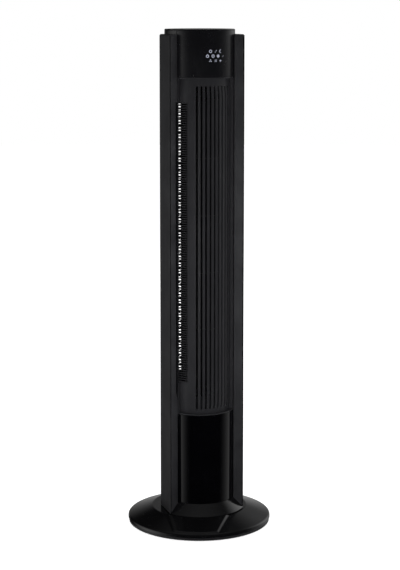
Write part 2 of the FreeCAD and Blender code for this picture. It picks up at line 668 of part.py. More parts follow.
def wing(side):
    """One flat side wing: a hollow fin that stands off the core, bevelled in towards the front.

    A fine groove runs up its bevel beside the outer corner. The left wing has a notch beside the side intake.
    """
    back_r = CORE_R + EASY
    inner_angle = math.degrees(math.atan2(WING_INNER_X, WING_INNER_FRONT - CORE_FWD))

    def outline(corner, edge, start, end, rear, z):
        """The plan of the wing or of its hollow: two corners, an arc along the core, and the rear."""
        radius, a0, a1 = start
        points = [Vector(corner[0], -corner[1], z), Vector(edge[0], -edge[1], z)]
        arc = Part.Arc(core_point(radius, a0, z), core_point(radius, (a0 + a1) / 2, z),
                       core_point(radius, a1, z)).toShape()
        back = Vector(rear[0], -rear[1], z)
        edges = [Part.LineSegment(points[0], points[1]).toShape(),
                 Part.LineSegment(points[1], core_point(radius, a0, z)).toShape(), arc,
                 Part.LineSegment(core_point(radius, a1, z), back).toShape(),
                 Part.LineSegment(back, points[0]).toShape()]
        return Part.Face(Part.Wire(edges)).extrude(Vector(0, 0, end - z))

    body = outline((WING_X, WING_FRONT), (WING_INNER_X, WING_INNER_FRONT),
                   (back_r, inner_angle, WING_REAR_ANGLE), WING_TOP, (WING_X, WING_REAR), COLUMN_Z)
    rear_edge = [e for e in body.Edges
                 if abs(e.BoundBox.XMin - WING_X) < 0.01 and abs(e.BoundBox.YMin + WING_REAR) < 0.01
                 and e.BoundBox.ZLength > 1 and e.BoundBox.YLength < 0.01]
    body = body.makeFillet(WING_REAR_ROUND, rear_edge)
    top_edges = [e for e in body.Edges if e.BoundBox.ZMin > WING_TOP - 0.01
                 and e.BoundBox.XMax > WING_X - 0.01]
    body = body.makeFillet(WING_TOP_ROUND, top_edges)

    notch_x = WING_INNER_X + WING_NOTCH
    hollow_edge_x = notch_x + WING_WALL
    lean = (WING_FRONT - WING_INNER_FRONT) / (WING_X - WING_INNER_X)
    hollow_front = WING_INNER_FRONT + lean * (hollow_edge_x - WING_INNER_X) - 1.3 * WING_WALL
    hollow_r = back_r + WING_WALL
    hollow_angle = math.degrees(math.atan2(hollow_edge_x, hollow_front - CORE_FWD))
    hollow = outline((WING_X - WING_WALL, WING_FRONT - 2.0 * WING_WALL), (hollow_edge_x, hollow_front),
                     (hollow_r, hollow_angle + 1.0, WING_REAR_ANGLE - 9.0), WING_TOP - WING_WALL,
                     (WING_X - WING_WALL, WING_REAR + 1.6 * WING_WALL), COLUMN_Z - 1)
    reach = 30.0
    notch_low = SIDE_LOW - NOTCH_END - NOTCH_SLOPE
    notch = Part.Face(Part.makePolygon([Vector(x, 0, z) for x, z in (
        (WING_INNER_X - reach, notch_low), (WING_INNER_X, notch_low), (notch_x, notch_low + NOTCH_SLOPE),
        (notch_x, SIDE_HIGH), (WING_INNER_X - reach, SIDE_HIGH), (WING_INNER_X - reach, notch_low))]))
    notch = notch.extrude(Vector(0, -2 * reach, 0))
    notch.translate(Vector(0, -(WING_INNER_FRONT - reach), 0))
    corner = Vector(WING_X, -WING_FRONT, COLUMN_Z - 1)
    along = Vector(WING_INNER_X - WING_X, WING_FRONT - WING_INNER_FRONT, 0).normalize()
    inward = Vector(along.y, -along.x, 0)
    groove_edges = [corner + along * share + inward * depth for share, depth in (
        (GROOVE_EDGE, -1), (GROOVE_EDGE + GROOVE_W, -1), (GROOVE_EDGE + GROOVE_W, GROOVE_DEPTH),
        (GROOVE_EDGE, GROOVE_DEPTH))]
    groove = Part.Face(Part.makePolygon(groove_edges + groove_edges[:1])).extrude(Vector(0, 0, HEIGHT))
    shape = body.cut(hollow).cut(core_disc(back_r, COLUMN_Z - 1, WING_TOP + 1)).cut(groove)
    shape = cut_all(shape, [rod(SCREW_R, *ends) for ends in wing_screw_ends() if ends[0].x > 0])
    return shape if side > 0 else shape.cut(notch).mirror(Vector(0, 0, 0), Vector(1, 0, 0))


# ---- outlet and intake --------------------------------------------------------------------------
def front_grille():
    """The recessed outlet barrel: upright slots, tapered ends, ledges and flanges to the core."""
    inner_r = GRILLE_R - GRILLE_WALL
    inner_end = GRILLE_END_R - GRILLE_WALL
    low = PANEL_TOP + GRILLE_TAPER_LOW
    high = HEAD_BOTTOM - GRILLE_TAPER_HIGH
    barrel = core_revolve([(GRILLE_END_R, GRILLE_Z0), (GRILLE_R, low), (GRILLE_R, high), (GRILLE_END_R, GRILLE_Z1),
                           (inner_end, GRILLE_Z1), (inner_r, high), (inner_r, low), (inner_end, GRILLE_Z0)],
                          -FRONT_SPAN, FRONT_SPAN)
    edge_r = CORE_R - SEAM
    ledges = [arc_wall(inner_end, edge_r, -FRONT_SPAN, FRONT_SPAN, GRILLE_Z0, GRILLE_Z0 + LEDGE),
              arc_wall(inner_end, edge_r, -FRONT_SPAN, FRONT_SPAN, GRILLE_Z1 - LEDGE, GRILLE_Z1)]
    flange = 1.8
    flanges = [arc_wall(inner_end, edge_r, FRONT_SPAN - flange, FRONT_SPAN, GRILLE_Z0, GRILLE_Z1),
               arc_wall(inner_end, edge_r, -FRONT_SPAN, -FRONT_SPAN + flange, GRILLE_Z0, GRILLE_Z1),
               arc_wall(inner_r - 6, GRILLE_R - 1, OUTLET_LEFT, OUTLET_LEFT + flange, SIDE_LOW, SIDE_HIGH)]
    solid = fuse_all([barrel] + ledges + flanges)
    slots = [radial_slot(OUTLET_TURN + (i - (SLOT_COUNT - 1) / 2) * SLOT_PITCH, inner_r - 12, CORE_R + 3, SLOT_W,
                         PANEL_TOP + SLOT_LOW, HEAD_BOTTOM - SLOT_HIGH) for i in range(SLOT_COUNT)]
    window = arc_wall(inner_r - 14, CORE_R + 5, -FRONT_SPAN - 5, OUTLET_LEFT, SIDE_LOW, SIDE_HIGH)
    return cut_all(solid, slots + [window])


def side_screen():
    """The ribbed intake between the outlet and the left wing, with a flange behind the rear shell's edge."""
    a0 = -REAR_EDGE - SCREEN_REACH
    a1 = OUTLET_LEFT - SEAM
    z0 = SIDE_LOW + SEAM
    z1 = SIDE_HIGH - SEAM
    outer = GRILLE_R - SCREEN_INSET
    wall = arc_wall(outer - SCREEN_WALL, outer, a0, a1, z0, z1)
    flange = arc_wall(outer - SCREEN_WALL, CORE_IN_R - SEAM, a0, a0 + SCREEN_FLANGE, z0, z1)
    middle = (a0 + a1) / 2
    chord = 2 * outer * math.sin(math.radians((a1 - a0) / 2 - SCREEN_RIM))
    rows = int((z1 - z0 - SCREEN_GAP) / SCREEN_PITCH)
    first = (z0 + z1 - (rows - 1) * SCREEN_PITCH - SCREEN_GAP) / 2
    cuts = [radial_box(middle, outer - 8, outer + 4, chord, first + i * SCREEN_PITCH,
                       first + i * SCREEN_PITCH + SCREEN_GAP) for i in range(rows)]
    return cut_all(wall, cuts).fuse(flange).removeSplitter()


# ---- head ---------------------------------------------------------------------------------------
def board_place(shape):
    """Turns a piece that was drawn facing -Y to the middle of the touch controls."""
    shape.rotate(core_point(0, 0), UP, CONTROL_TURN)
    return shape


CONTROL_MID = (HEAD_BOTTOM + HEAD_TOP) / 2 - 3.0


def control_head():
    """The front shell with the touch surface. Four posts inside carry the control board."""
    shell = arc_wall(CORE_IN_R, CORE_R, -FRONT_SPAN, FRONT_SPAN, HEAD_BOTTOM, HEAD_TOP)
    top = [e for e in shell.Edges if e.BoundBox.ZMin > HEAD_TOP - 0.01 and e.BoundBox.XLength > 2 * CORE_IN_R *
           math.sin(math.radians(FRONT_SPAN)) + 1]
    shell = shell.makeChamfer(0.7, top)
    across = CONTROL_BOARD / 2 - 5
    root = math.sqrt((CORE_R - SHELL / 2) ** 2 - across ** 2)
    posts = []
    for x in (-across, across):
        for z in (CONTROL_MID - CONTROL_BOARD / 2 + 4, CONTROL_MID + CONTROL_BOARD / 2 - 4):
            posts.append(rod(3.0, Vector(x, -CORE_FWD - CONTROL_BOARD_R, z), Vector(x, -CORE_FWD - root, z)))
    return fuse_all([shell, board_place(Part.makeCompound(posts))])


def control_board():
    y = -CORE_FWD - CONTROL_BOARD_R
    half = CONTROL_BOARD / 2
    board = Part.makeBox(CONTROL_BOARD, BOARD_T, CONTROL_BOARD, Vector(-half, y, CONTROL_MID - half))
    chip = Part.makeBox(12, 3, 12, Vector(-6, y + BOARD_T, CONTROL_MID - 6))
    plug = Part.makeBox(14, 8, 7, Vector(-20, y + BOARD_T, CONTROL_MID - 24))
    return board_place(fuse_all([board, chip, plug]))


def light_guide():
    """The clear block that carries the lamps' light from the board to the touch surface."""
    half = LIGHT_GUIDE / 2
    reach = math.sqrt(CORE_IN_R ** 2 - half ** 2) - SEAM
    y = -CORE_FWD - reach
    block = Part.makeBox(LIGHT_GUIDE, reach - CONTROL_BOARD_R, 30.0, Vector(-half, y, CONTROL_MID - 15))
    cells = [Part.makeBox(8.0, reach, 6.0, Vector(x - 4, y - 1, CONTROL_MID + z - 3))
             for x in (-13, 0, 13) for z in (-10, 0, 10)]
    return board_place(cut_all(block, cells))


def top_cap():
    disc = core_disc(CORE_R, CAP_Z, HEIGHT)
    edge = [e for e in disc.Edges if e.BoundBox.ZMin > HEIGHT - 0.01]
    disc = disc.makeChamfer(CAP_CHAMFER, edge)
    skirt = core_disc(SPIGOT_R, CAP_Z - SKIRT_DEPTH, CAP_Z).cut(
        core_disc(SPIGOT_R - SKIRT_WALL, CAP_Z - SKIRT_DEPTH - 1, CAP_Z + 1))
    return disc.fuse(skirt).removeSplitter()


# ---- blower -------------------------------------------------------------------------------------
def impeller():
    """A cross-flow impeller: curved blades held by discs, open in the middle between the discs."""
    discs = []
    for i in range(IMPELLER_STAGES + 1):
        z = IMPELLER_Z0 + (IMPELLER_Z1 - DISC_T - IMPELLER_Z0) * i / IMPELLER_STAGES
        inner = BLADE_IN_R - 4
        disc = core_disc(IMPELLER_R, z, z + DISC_T)
        if 0 < i < IMPELLER_STAGES:
            disc = disc.cut(core_disc(inner, z - 1, z + DISC_T + 1))
        discs.append(disc)
    blades = []
    middle = (BLADE_IN_R + IMPELLER_R) / 2
    for i in range(BLADE_COUNT):
        angle = 360.0 * i / BLADE_COUNT
        half = math.degrees(BLADE_T / 2 / middle)
        tip = IMPELLER_R - 0.6

        def bow(offset):
            return Part.Arc(core_point(BLADE_IN_R, angle + offset, IMPELLER_Z0),
                            core_point(middle, angle + BLADE_SKEW * 0.3 + offset, IMPELLER_Z0),
                            core_point(tip, angle + BLADE_SKEW + offset, IMPELLER_Z0))
        one = bow(-half)
        two = bow(half)
        edges = [one.toShape(), Part.LineSegment(one.EndPoint, two.EndPoint).toShape(), two.toShape(),
                 Part.LineSegment(two.StartPoint, one.StartPoint).toShape()]
        face = Part.Face(Part.Wire(Part.__sortEdges__(edges)))
        blades.append(face.extrude(Vector(0, 0, IMPELLER_Z1 - IMPELLER_Z0)))
    hubs = [core_disc(HUB_COUPLER_R + 4, IMPELLER_Z0, IMPELLER_Z0 + HUB_COUPLER_H),
            core_disc(SHAFT_R + 4, IMPELLER_Z1 - 9, IMPELLER_Z1)]
    whole = fuse_all(discs + blades + hubs)
    bores = [core_disc(HUB_COUPLER_R, IMPELLER_Z0 - 1, IMPELLER_Z0 + HUB_COUPLER_H),
             core_disc(SHAFT_R, IMPELLER_Z1 - 9, IMPELLER_Z1 + 1)]
    return cut_all(whole, bores)


def hub_coupler():
    """The insert that grips the motor's shaft inside the impeller's lower disc."""
    return tube(HUB_COUPLER_R, SHAFT_R, IMPELLER_Z0, IMPELLER_Z0 + HUB_COUPLER_H, 0.0, -CORE_FWD)


def motor_shaft():
    return core_disc(SHAFT_R, MOTOR_Z + 4, IMPELLER_Z0 + HUB_COUPLER_H)


def top_pin():
    return core_disc(SHAFT_R, IMPELLER_Z1 - 9, BULKHEAD_HIGH + BULKHEAD_T + 3)


def upper_bush():
    z0 = BULKHEAD_HIGH - (BUSH_H - BULKHEAD_T) / 2
    return tube(BUSH_R, SHAFT_R + RUN_FIT, z0, z0 + BUSH_H, 0.0, -CORE_FWD)


def bulkhead_bosses(z0, z1):
    """Blocks on a bulkhead's rim that the rear shell is screwed to."""
    return [radial_box(a, CORE_R - 16, CORE_IN_R - 1.2, 12.0, z0, z1) for a in HOUSING_SCREW_ANGLES]


def motor_screw_ends():
    """Tip and head of each screw that hangs the blower motor under its bulkhead."""
    places = [core_point(MOTOR_EAR_RING_R, a) for a in (0.0, 120.0, 240.0)]
    return [(p + Vector(0, 0, BULKHEAD_LOW + BULKHEAD_T - 0.5), p + Vector(0, 0, MOTOR_FLANGE_Z)) for p in places]


def lower_bulkhead():
    """The floor of the air duct. The motor hangs under it and its shaft passes through."""
    plate = core_disc(SPIGOT_R, BULKHEAD_LOW, BULKHEAD_LOW + BULKHEAD_T)
    whole = fuse_all([plate] + bulkhead_bosses(BULKHEAD_LOW, BULKHEAD_LOW + BULKHEAD_T + 6))
    holes = [core_disc(SHAFT_R + 2, BULKHEAD_LOW - 1, BULKHEAD_LOW + BULKHEAD_T + 1)]
    holes += [rod(SCREW_R, *ends) for ends in motor_screw_ends() + housing_screw_ends()]
    holes.append(grille_relief())
    return cut_all(whole, holes)


def upper_bulkhead():
    """The roof of the air duct, with the boss for the upper bush."""
    top = BULKHEAD_HIGH + BULKHEAD_T
    bush_z = BULKHEAD_HIGH - (BUSH_H - BULKHEAD_T) / 2
    plate = core_disc(SPIGOT_R, BULKHEAD_HIGH, top)
    boss = core_disc(BUSH_R + 4, bush_z, bush_z + BUSH_H)
    whole = fuse_all([plate, boss] + bulkhead_bosses(BULKHEAD_HIGH - 6, top))
    holes = [core_disc(BUSH_R, bush_z - 1, bush_z + BUSH_H + 1)]
    holes += [rod(SCREW_R, *ends) for ends in housing_screw_ends()]
    holes.append(grille_relief())
    return cut_all(whole, holes)


def grille_relief():
    """The part of the core that the outlet barrel, its flanges and the rear lips take up."""
    inner = GRILLE_END_R - GRILLE_WALL - 7.0
    return arc_wall(inner, CORE_R + 5, -REAR_EDGE - 2, REAR_EDGE + 2, BULKHEAD_LOW - 5, BULKHEAD_HIGH + BULKHEAD_T + 5)


def volute():
    """The scroll wall that leads air from the back of the impeller round to the outlet."""
    z0 = BULKHEAD_LOW + BULKHEAD_T
    steps = 8

    def side(offset):
        """One face of the wall: its points, and the curve through them."""
        points = []
        for i in range(steps + 1):
            share = i / steps
            angle = VOLUTE_START + (VOLUTE_END - VOLUTE_START) * share
            radius = VOLUTE_START_R + (VOLUTE_END_R - VOLUTE_START_R) * share
            points.append(core_point(radius + offset, angle, z0))
        curve = Part.BSplineCurve()
        curve.interpolate(points)
        return points, curve.toShape()

    near, near_edge = side(0.0)
    far, far_edge = side(-VOLUTE_T)
    edges = [near_edge, Part.LineSegment(near[-1], far[-1]).toShape(), far_edge,
             Part.LineSegment(far[0], near[0]).toShape()]
    face = Part.Face(Part.Wire(Part.__sortEdges__(edges)))
    return face.extrude(Vector(0, 0, BULKHEAD_HIGH - z0))


def tongue():
    """The cut-off beside the impeller at the outlet's left edge."""
    reach = GRILLE_R - GRILLE_WALL - 6.3
    a1 = OUTLET_LEFT + 1.8
    return arc_wall(TONGUE_R, reach, a1 - 3.0, a1, BULKHEAD_LOW + BULKHEAD_T, BULKHEAD_HIGH)


def blower_motor():
    """The motor can with three ears. Its bearings hold the impeller's shaft."""
    can = core_disc(MOTOR_R, MOTOR_Z, MOTOR_FLANGE_Z + MOTOR_FLANGE_T)
    low = [e for e in can.Edges if e.BoundBox.ZMax < MOTOR_Z + 0.01]
    can = can.makeFillet(3.0, low)
    ears = []
    for a in (0.0, 120.0, 240.0):
        tip = core_point(MOTOR_EAR_RING_R, a)
        z0 = MOTOR_FLANGE_Z
        z1 = MOTOR_FLANGE_Z + MOTOR_FLANGE_T
        ears += [radial_box(a, MOTOR_R - 4, MOTOR_EAR_RING_R, 12.0, z0, z1), cylinder(6.0, z0, z1, tip.x, tip.y)]
    whole = fuse_all([can] + ears)
    holes = [core_disc(SHAFT_R + RUN_FIT, MOTOR_Z + 3, MOTOR_FLANGE_Z + MOTOR_FLANGE_T + 1)]
    holes += [rod(SCREW_R, *ends) for ends in motor_screw_ends()]
    return cut_all(whole, holes)


def motor_grommets():
    """Three rubber rings that keep the motor's hum out of the housing."""
    rings = []
    for tip, _ in motor_screw_ends():
        rings.append(tube(GROMMET_R, SCREW_R, BULKHEAD_LOW - GROMMET_H, BULKHEAD_LOW, tip.x, tip.y))
    return Part.makeCompound(rings)


# ---- electronics and cord inlet -----------------------------------------------------------------
def power_board():
    """The supply board with its capacitor, choke and relay."""
    half = POWER_BOARD_W / 2
    y = POWER_BOARD_Y
    z = POWER_BOARD_Z
    board = Part.makeBox(POWER_BOARD_W, BOARD_T, POWER_BOARD_H, Vector(-half, y, z))
    can = rod(8.0, Vector(-14, y, z + 70), Vector(-14, y - 22, z + 70))
    choke = Part.makeBox(18, 16, 20, Vector(4, y - 16, z + 20))
    relay = Part.makeBox(12, 12, 18, Vector(10, y - 12, z + 56))
    return fuse_all([board, can, choke, relay])


def cord_gland():
    """The rubber grommet in the back that a mains lead would pass through."""
    inside = core_point(CORE_IN_R - 4, 180, GLAND_Z)
    wall = core_point(CORE_R, 180, GLAND_Z)
    outside = core_point(CORE_R + 2.5, 180, GLAND_Z)
    body = fuse_all([rod(GLAND_R, inside, outside), rod(GLAND_FLANGE_R, wall + Vector(0, 0.15, 0), outside)])
    return body.cut(rod(GLAND_BORE_R, inside + Vector(0, -2, 0), outside + Vector(0, 2, 0)))


def screws(ends, turn=False):
    group = Part.makeCompound([screw(*pair) for pair in ends])
    return turned(group) if turn else group


# ---- every node ---------------------------------------------------------------------------------
NODES = {
    "base_cover": base_cover,
    "base_pan": base_pan,
    "rubber_feet": rubber_feet,
    "ballast_plate": ballast_plate,
    "base_screws": lambda: screws(base_screw_ends(), True),
    "pivot_post": pivot_post,
    "pivot_screws": lambda: screws(pivot_screw_ends(), True),
    "slide_washer": lambda: tube(TABLE_R - 2, WASHER_IN_R, TABLE_TOP, WASHER_TOP),
    "fixed_gear": fixed_gear,
    "retaining_ring": retaining_ring,
    "ring_screws": lambda: screws(ring_screw_ends()),
    "turntable": turntable,
    "foot_collar": foot_collar,
    "collar_screws": lambda: screws(collar_screw_ends()),
    "swing_plate": swing_plate,
    "swing_motor": swing_motor,
    "swing_screws": lambda: screws(swing_screw_ends()),
    "swing_pinion": swing_pinion,
    "pinion_shaft": pinion_shaft,
    "lower_panel": lower_panel,
    "rear_housing": rear_housing,
    "housing_screws": lambda: screws(housing_screw_ends()),
    "left_wing": lambda: wing(-1),
    "right_wing": lambda: wing(1),
    "wing_screws": lambda: screws(wing_screw_ends()),
    "front_grille": front_grille,
    "side_screen": side_screen,
    "control_head": control_head,
    "control_board": control_board,
    "light_guide": light_guide,
    "top_cap": top_cap,
    "impeller": impeller,
    "hub_coupler": hub_coupler,
    "motor_shaft": motor_shaft,
    "top_pin": top_pin,
    "upper_bush": upper_bush,
    "lower_bulkhead": lower_bulkhead,
    "upper_bulkhead": upper_bulkhead,
    "volute": volute,
    "tongue": tongue,
    "blower_motor": blower_motor,
    "motor_grommets": motor_grommets,
    "motor_screws": lambda: screws(motor_screw_ends()),
    "power_board": power_board,
    "cord_gland": cord_gland,
}

for name, make in NODES.items():
    shape = make()
    print(name, "valid" if shape.isValid() else "NOT VALID", len(shape.Solids), "solids", round(shape.Volume, 1))
    shape.exportStep(f"parts/{name}.step")
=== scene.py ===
"""Looks of a floor-standing tower fan: shells, grilles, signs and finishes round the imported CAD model."""

import logging
import math
from dataclasses import dataclass, field
from enum import Enum
from typing import Callable, Sequence

import bpy
import numpy as np
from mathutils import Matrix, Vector


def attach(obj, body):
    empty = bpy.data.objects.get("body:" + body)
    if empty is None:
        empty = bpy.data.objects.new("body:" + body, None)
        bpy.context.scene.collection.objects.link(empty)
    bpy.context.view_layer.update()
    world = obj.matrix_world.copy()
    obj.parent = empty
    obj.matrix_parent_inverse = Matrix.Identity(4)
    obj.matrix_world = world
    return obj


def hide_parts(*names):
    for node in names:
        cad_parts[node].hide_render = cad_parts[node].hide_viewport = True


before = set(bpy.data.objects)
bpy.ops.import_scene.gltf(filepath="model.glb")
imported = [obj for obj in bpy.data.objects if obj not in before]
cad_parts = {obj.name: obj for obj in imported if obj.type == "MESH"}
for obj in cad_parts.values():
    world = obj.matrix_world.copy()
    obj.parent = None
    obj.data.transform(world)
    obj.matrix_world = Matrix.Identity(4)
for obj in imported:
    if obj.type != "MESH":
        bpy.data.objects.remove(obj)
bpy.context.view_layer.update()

log = logging.getLogger("tower_fan")

MM = 0.001

Grid = Callable[[np.ndarray, np.ndarray], np.ndarray]


# ---- colours and nodes --------------------------------------------------------------------------
def linear(hex_colour: str) -> tuple[float, float, float, float]:
    """Turns an sRGB hex colour such as "#141416" to linear RGBA.

    Args:
        hex_colour: six hex digits after a hash.

    Returns:
        Linear red, green, blue, and an alpha of 1.
    """
    levels = np.array([int(hex_colour[i:i + 2], 16) for i in (1, 3, 5)]) / 255
    curved = np.where(levels <= 0.04045, levels / 12.92, ((levels + 0.055) / 1.055) ** 2.4)
    return (*(float(c) for c in curved), 1.0)


def add_node(tree: bpy.types.NodeTree, kind: str, settings: dict | None = None,
             links: dict | None = None) -> bpy.types.Node:
    """Adds a node, sets its properties, and sets or links its inputs.

    Args:
        tree: the tree that gets the node.
        kind: Blender's name of the node's type.
        settings: property name to value.
        links: input name or number to a value, or to the output socket that feeds it.

    Returns:
        The new node.
    """
    node = tree.nodes.new(kind)
    for name, value in (settings or {}).items():
        setattr(node, name, value)
    for name, value in (links or {}).items():
        if isinstance(value, bpy.types.NodeSocket):
            tree.links.new(value, node.inputs[name])
        else:
            node.inputs[name].default_value = value
    return node


# ---- finishes -----------------------------------------------------------------------------------
class Surface(Enum):
    """How a surface was made, which decides the pattern of its nodes."""

    MOULDED = "spark-eroded mould grain"
    POLISHED = "polished mould, slight waviness"
    BRUSHED = "fine lines along one direction"
    LAMINATE = "glass-cloth board with tracks"
    LIT = "back-lit sign"


@dataclass(frozen=True)
class Finish:
    """One real material with the way its surface was made.

    Attributes:
        name: the material's name.
        colour: sRGB hex colour of the bulk.
        roughness: middle roughness.
        spread: how far the roughness drifts over a hand's width.
        grain_mm: size of the surface pattern.
        relief_mm: height of the pattern.
        surface: how the surface was made.
        metallic: 1 for bare metal.
        ior: index of refraction; metals keep the default.
        specular: specular level of the base coat.
        tint: a second colour that the bulk drifts to in patches.
        glow: emission strength of a lit sign.
    """

    name: str
    colour: str
    roughness: float
    spread: float = 0.04
    grain_mm: float = 0.8
    relief_mm: float = 0.02
    surface: Surface = Surface.MOULDED
    metallic: float = 0.0
    ior: float = 1.5
    specular: float = 0.5
    tint: str = ""
    glow: float = 0.0

    def build(self) -> bpy.types.Material:
        """Makes the Blender material.

        Returns:
            A material whose pattern reads Object coordinates in metres.
        """
        material = bpy.data.materials.new(self.name)
        material.use_nodes = True
        tree = material.node_tree
        tree.nodes.clear()
        place = add_node(tree, "ShaderNodeTexCoord").outputs["Object"]
        shader = add_node(tree, "ShaderNodeBsdfPrincipled", links={
            "Metallic": self.metallic, "IOR": self.ior, "Specular IOR Level": self.specular})
        add_node(tree, "ShaderNodeOutputMaterial", links={"Surface": shader.outputs["BSDF"]})
        tree.links.new(self._colour(tree, place), shader.inputs["Base Color"])
        tree.links.new(self._roughness(tree, place), shader.inputs["Roughness"])
        tree.links.new(self._relief(tree, place), shader.inputs["Normal"])
        if self.glow:
            shader.inputs["Emission Color"].default_value = linear(self.colour)
            shader.inputs["Emission Strength"].default_value = self.glow
        material.diffuse_color = linear(self.colour)
        return material

    def _colour(self, tree: bpy.types.NodeTree, place: bpy.types.NodeSocket) -> bpy.types.NodeSocket:
        """Bulk colour that drifts to the tint over patches a few centimetres wide."""
        patch = add_node(tree, "ShaderNodeTexNoise", links={
            "Vector": place, "Scale": 1 / (60 * MM), "Detail": 5.0, "Roughness": 0.6})
        drift = add_node(tree, "ShaderNodeMapRange", links={
            "Value": patch.outputs["Fac"], "From Min": 0.35, "From Max": 0.7})
        mix = add_node(tree, "ShaderNodeMix", {"data_type": "RGBA"}, {
            "Factor": drift.outputs["Result"], "A": linear(self.colour), "B": linear(self.tint or self.colour)})
        if self.surface is not Surface.LAMINATE:
            return mix.outputs["Result"]
        return self._tracks(tree, place, mix.outputs["Result"])

    def _tracks(self, tree: bpy.types.NodeTree, place: bpy.types.NodeSocket,
                ground: bpy.types.NodeSocket) -> bpy.types.NodeSocket:
        """Lighter copper tracks under the lacquer, about 3 mm apart, with bends."""
        cells = add_node(tree, "ShaderNodeTexBrick", {"offset": 0.37, "squash": 1.6}, {
            "Vector": place, "Scale": 1 / (26 * MM), "Mortar Size": 0.035, "Mortar Smooth": 0.1,
            "Color1": (0, 0, 0, 1), "Color2": (0, 0, 0, 1), "Mortar": (1, 1, 1, 1)})
        mix = add_node(tree, "ShaderNodeMix", {"data_type": "RGBA"}, {
            "Factor": cells.outputs["Color"], "A": ground, "B": linear("#3F7A4C")})
        return mix.outputs["Result"]

    def _roughness(self, tree: bpy.types.NodeTree, place: bpy.types.NodeSocket) -> bpy.types.NodeSocket:
        """Roughness that drifts with handling."""
        wear = add_node(tree, "ShaderNodeTexNoise", links={
            "Vector": place, "Scale": 1 / (90 * MM), "Detail": 6.0, "Roughness": 0.65, "Distortion": 0.6})
        spread = add_node(tree, "ShaderNodeMapRange", links={
            "Value": wear.outputs["Fac"], "From Min": 0.3, "From Max": 0.7,
            "To Min": max(0.02, self.roughness - self.spread), "To Max": self.roughness + self.spread})
        return spread.outputs["Result"]

    def _relief(self, tree: bpy.types.NodeTree, place: bpy.types.NodeSocket) -> bpy.types.NodeSocket:
        """Surface pattern as a normal: grain, waviness or drawn lines."""
        stretch = {Surface.BRUSHED: (1.0, 1.0, 0.04)}.get(self.surface, (1.0, 1.0, 1.0))
        mapped = add_node(tree, "ShaderNodeMapping", links={"Vector": place, "Scale": stretch}).outputs["Vector"]
        if self.surface is Surface.POLISHED:
            pattern = add_node(tree, "ShaderNodeTexNoise", links={
                "Vector": mapped, "Scale": 1 / (self.grain_mm * MM), "Detail": 1.0})
            height = pattern.outputs["Fac"]
        else:
            pattern = add_node(tree, "ShaderNodeTexNoise", links={
                "Vector": mapped, "Scale": 1 / (self.grain_mm * MM), "Detail": 3.0, "Roughness": 0.7})
            pits = add_node(tree, "ShaderNodeTexVoronoi", links={
                "Vector": mapped, "Scale": 1 / (0.7 * self.grain_mm * MM)})
            height = add_node(tree, "ShaderNodeMath", {"operation": "MULTIPLY_ADD"}, {
                0: pits.outputs["Distance"], 1: 0.5, 2: pattern.outputs["Fac"]}).outputs["Value"]
        bump = add_node(tree, "ShaderNodeBump", links={
            "Height": height, "Distance": self.relief_mm * MM, "Strength": 1.0})
        return bump.outputs["Normal"]


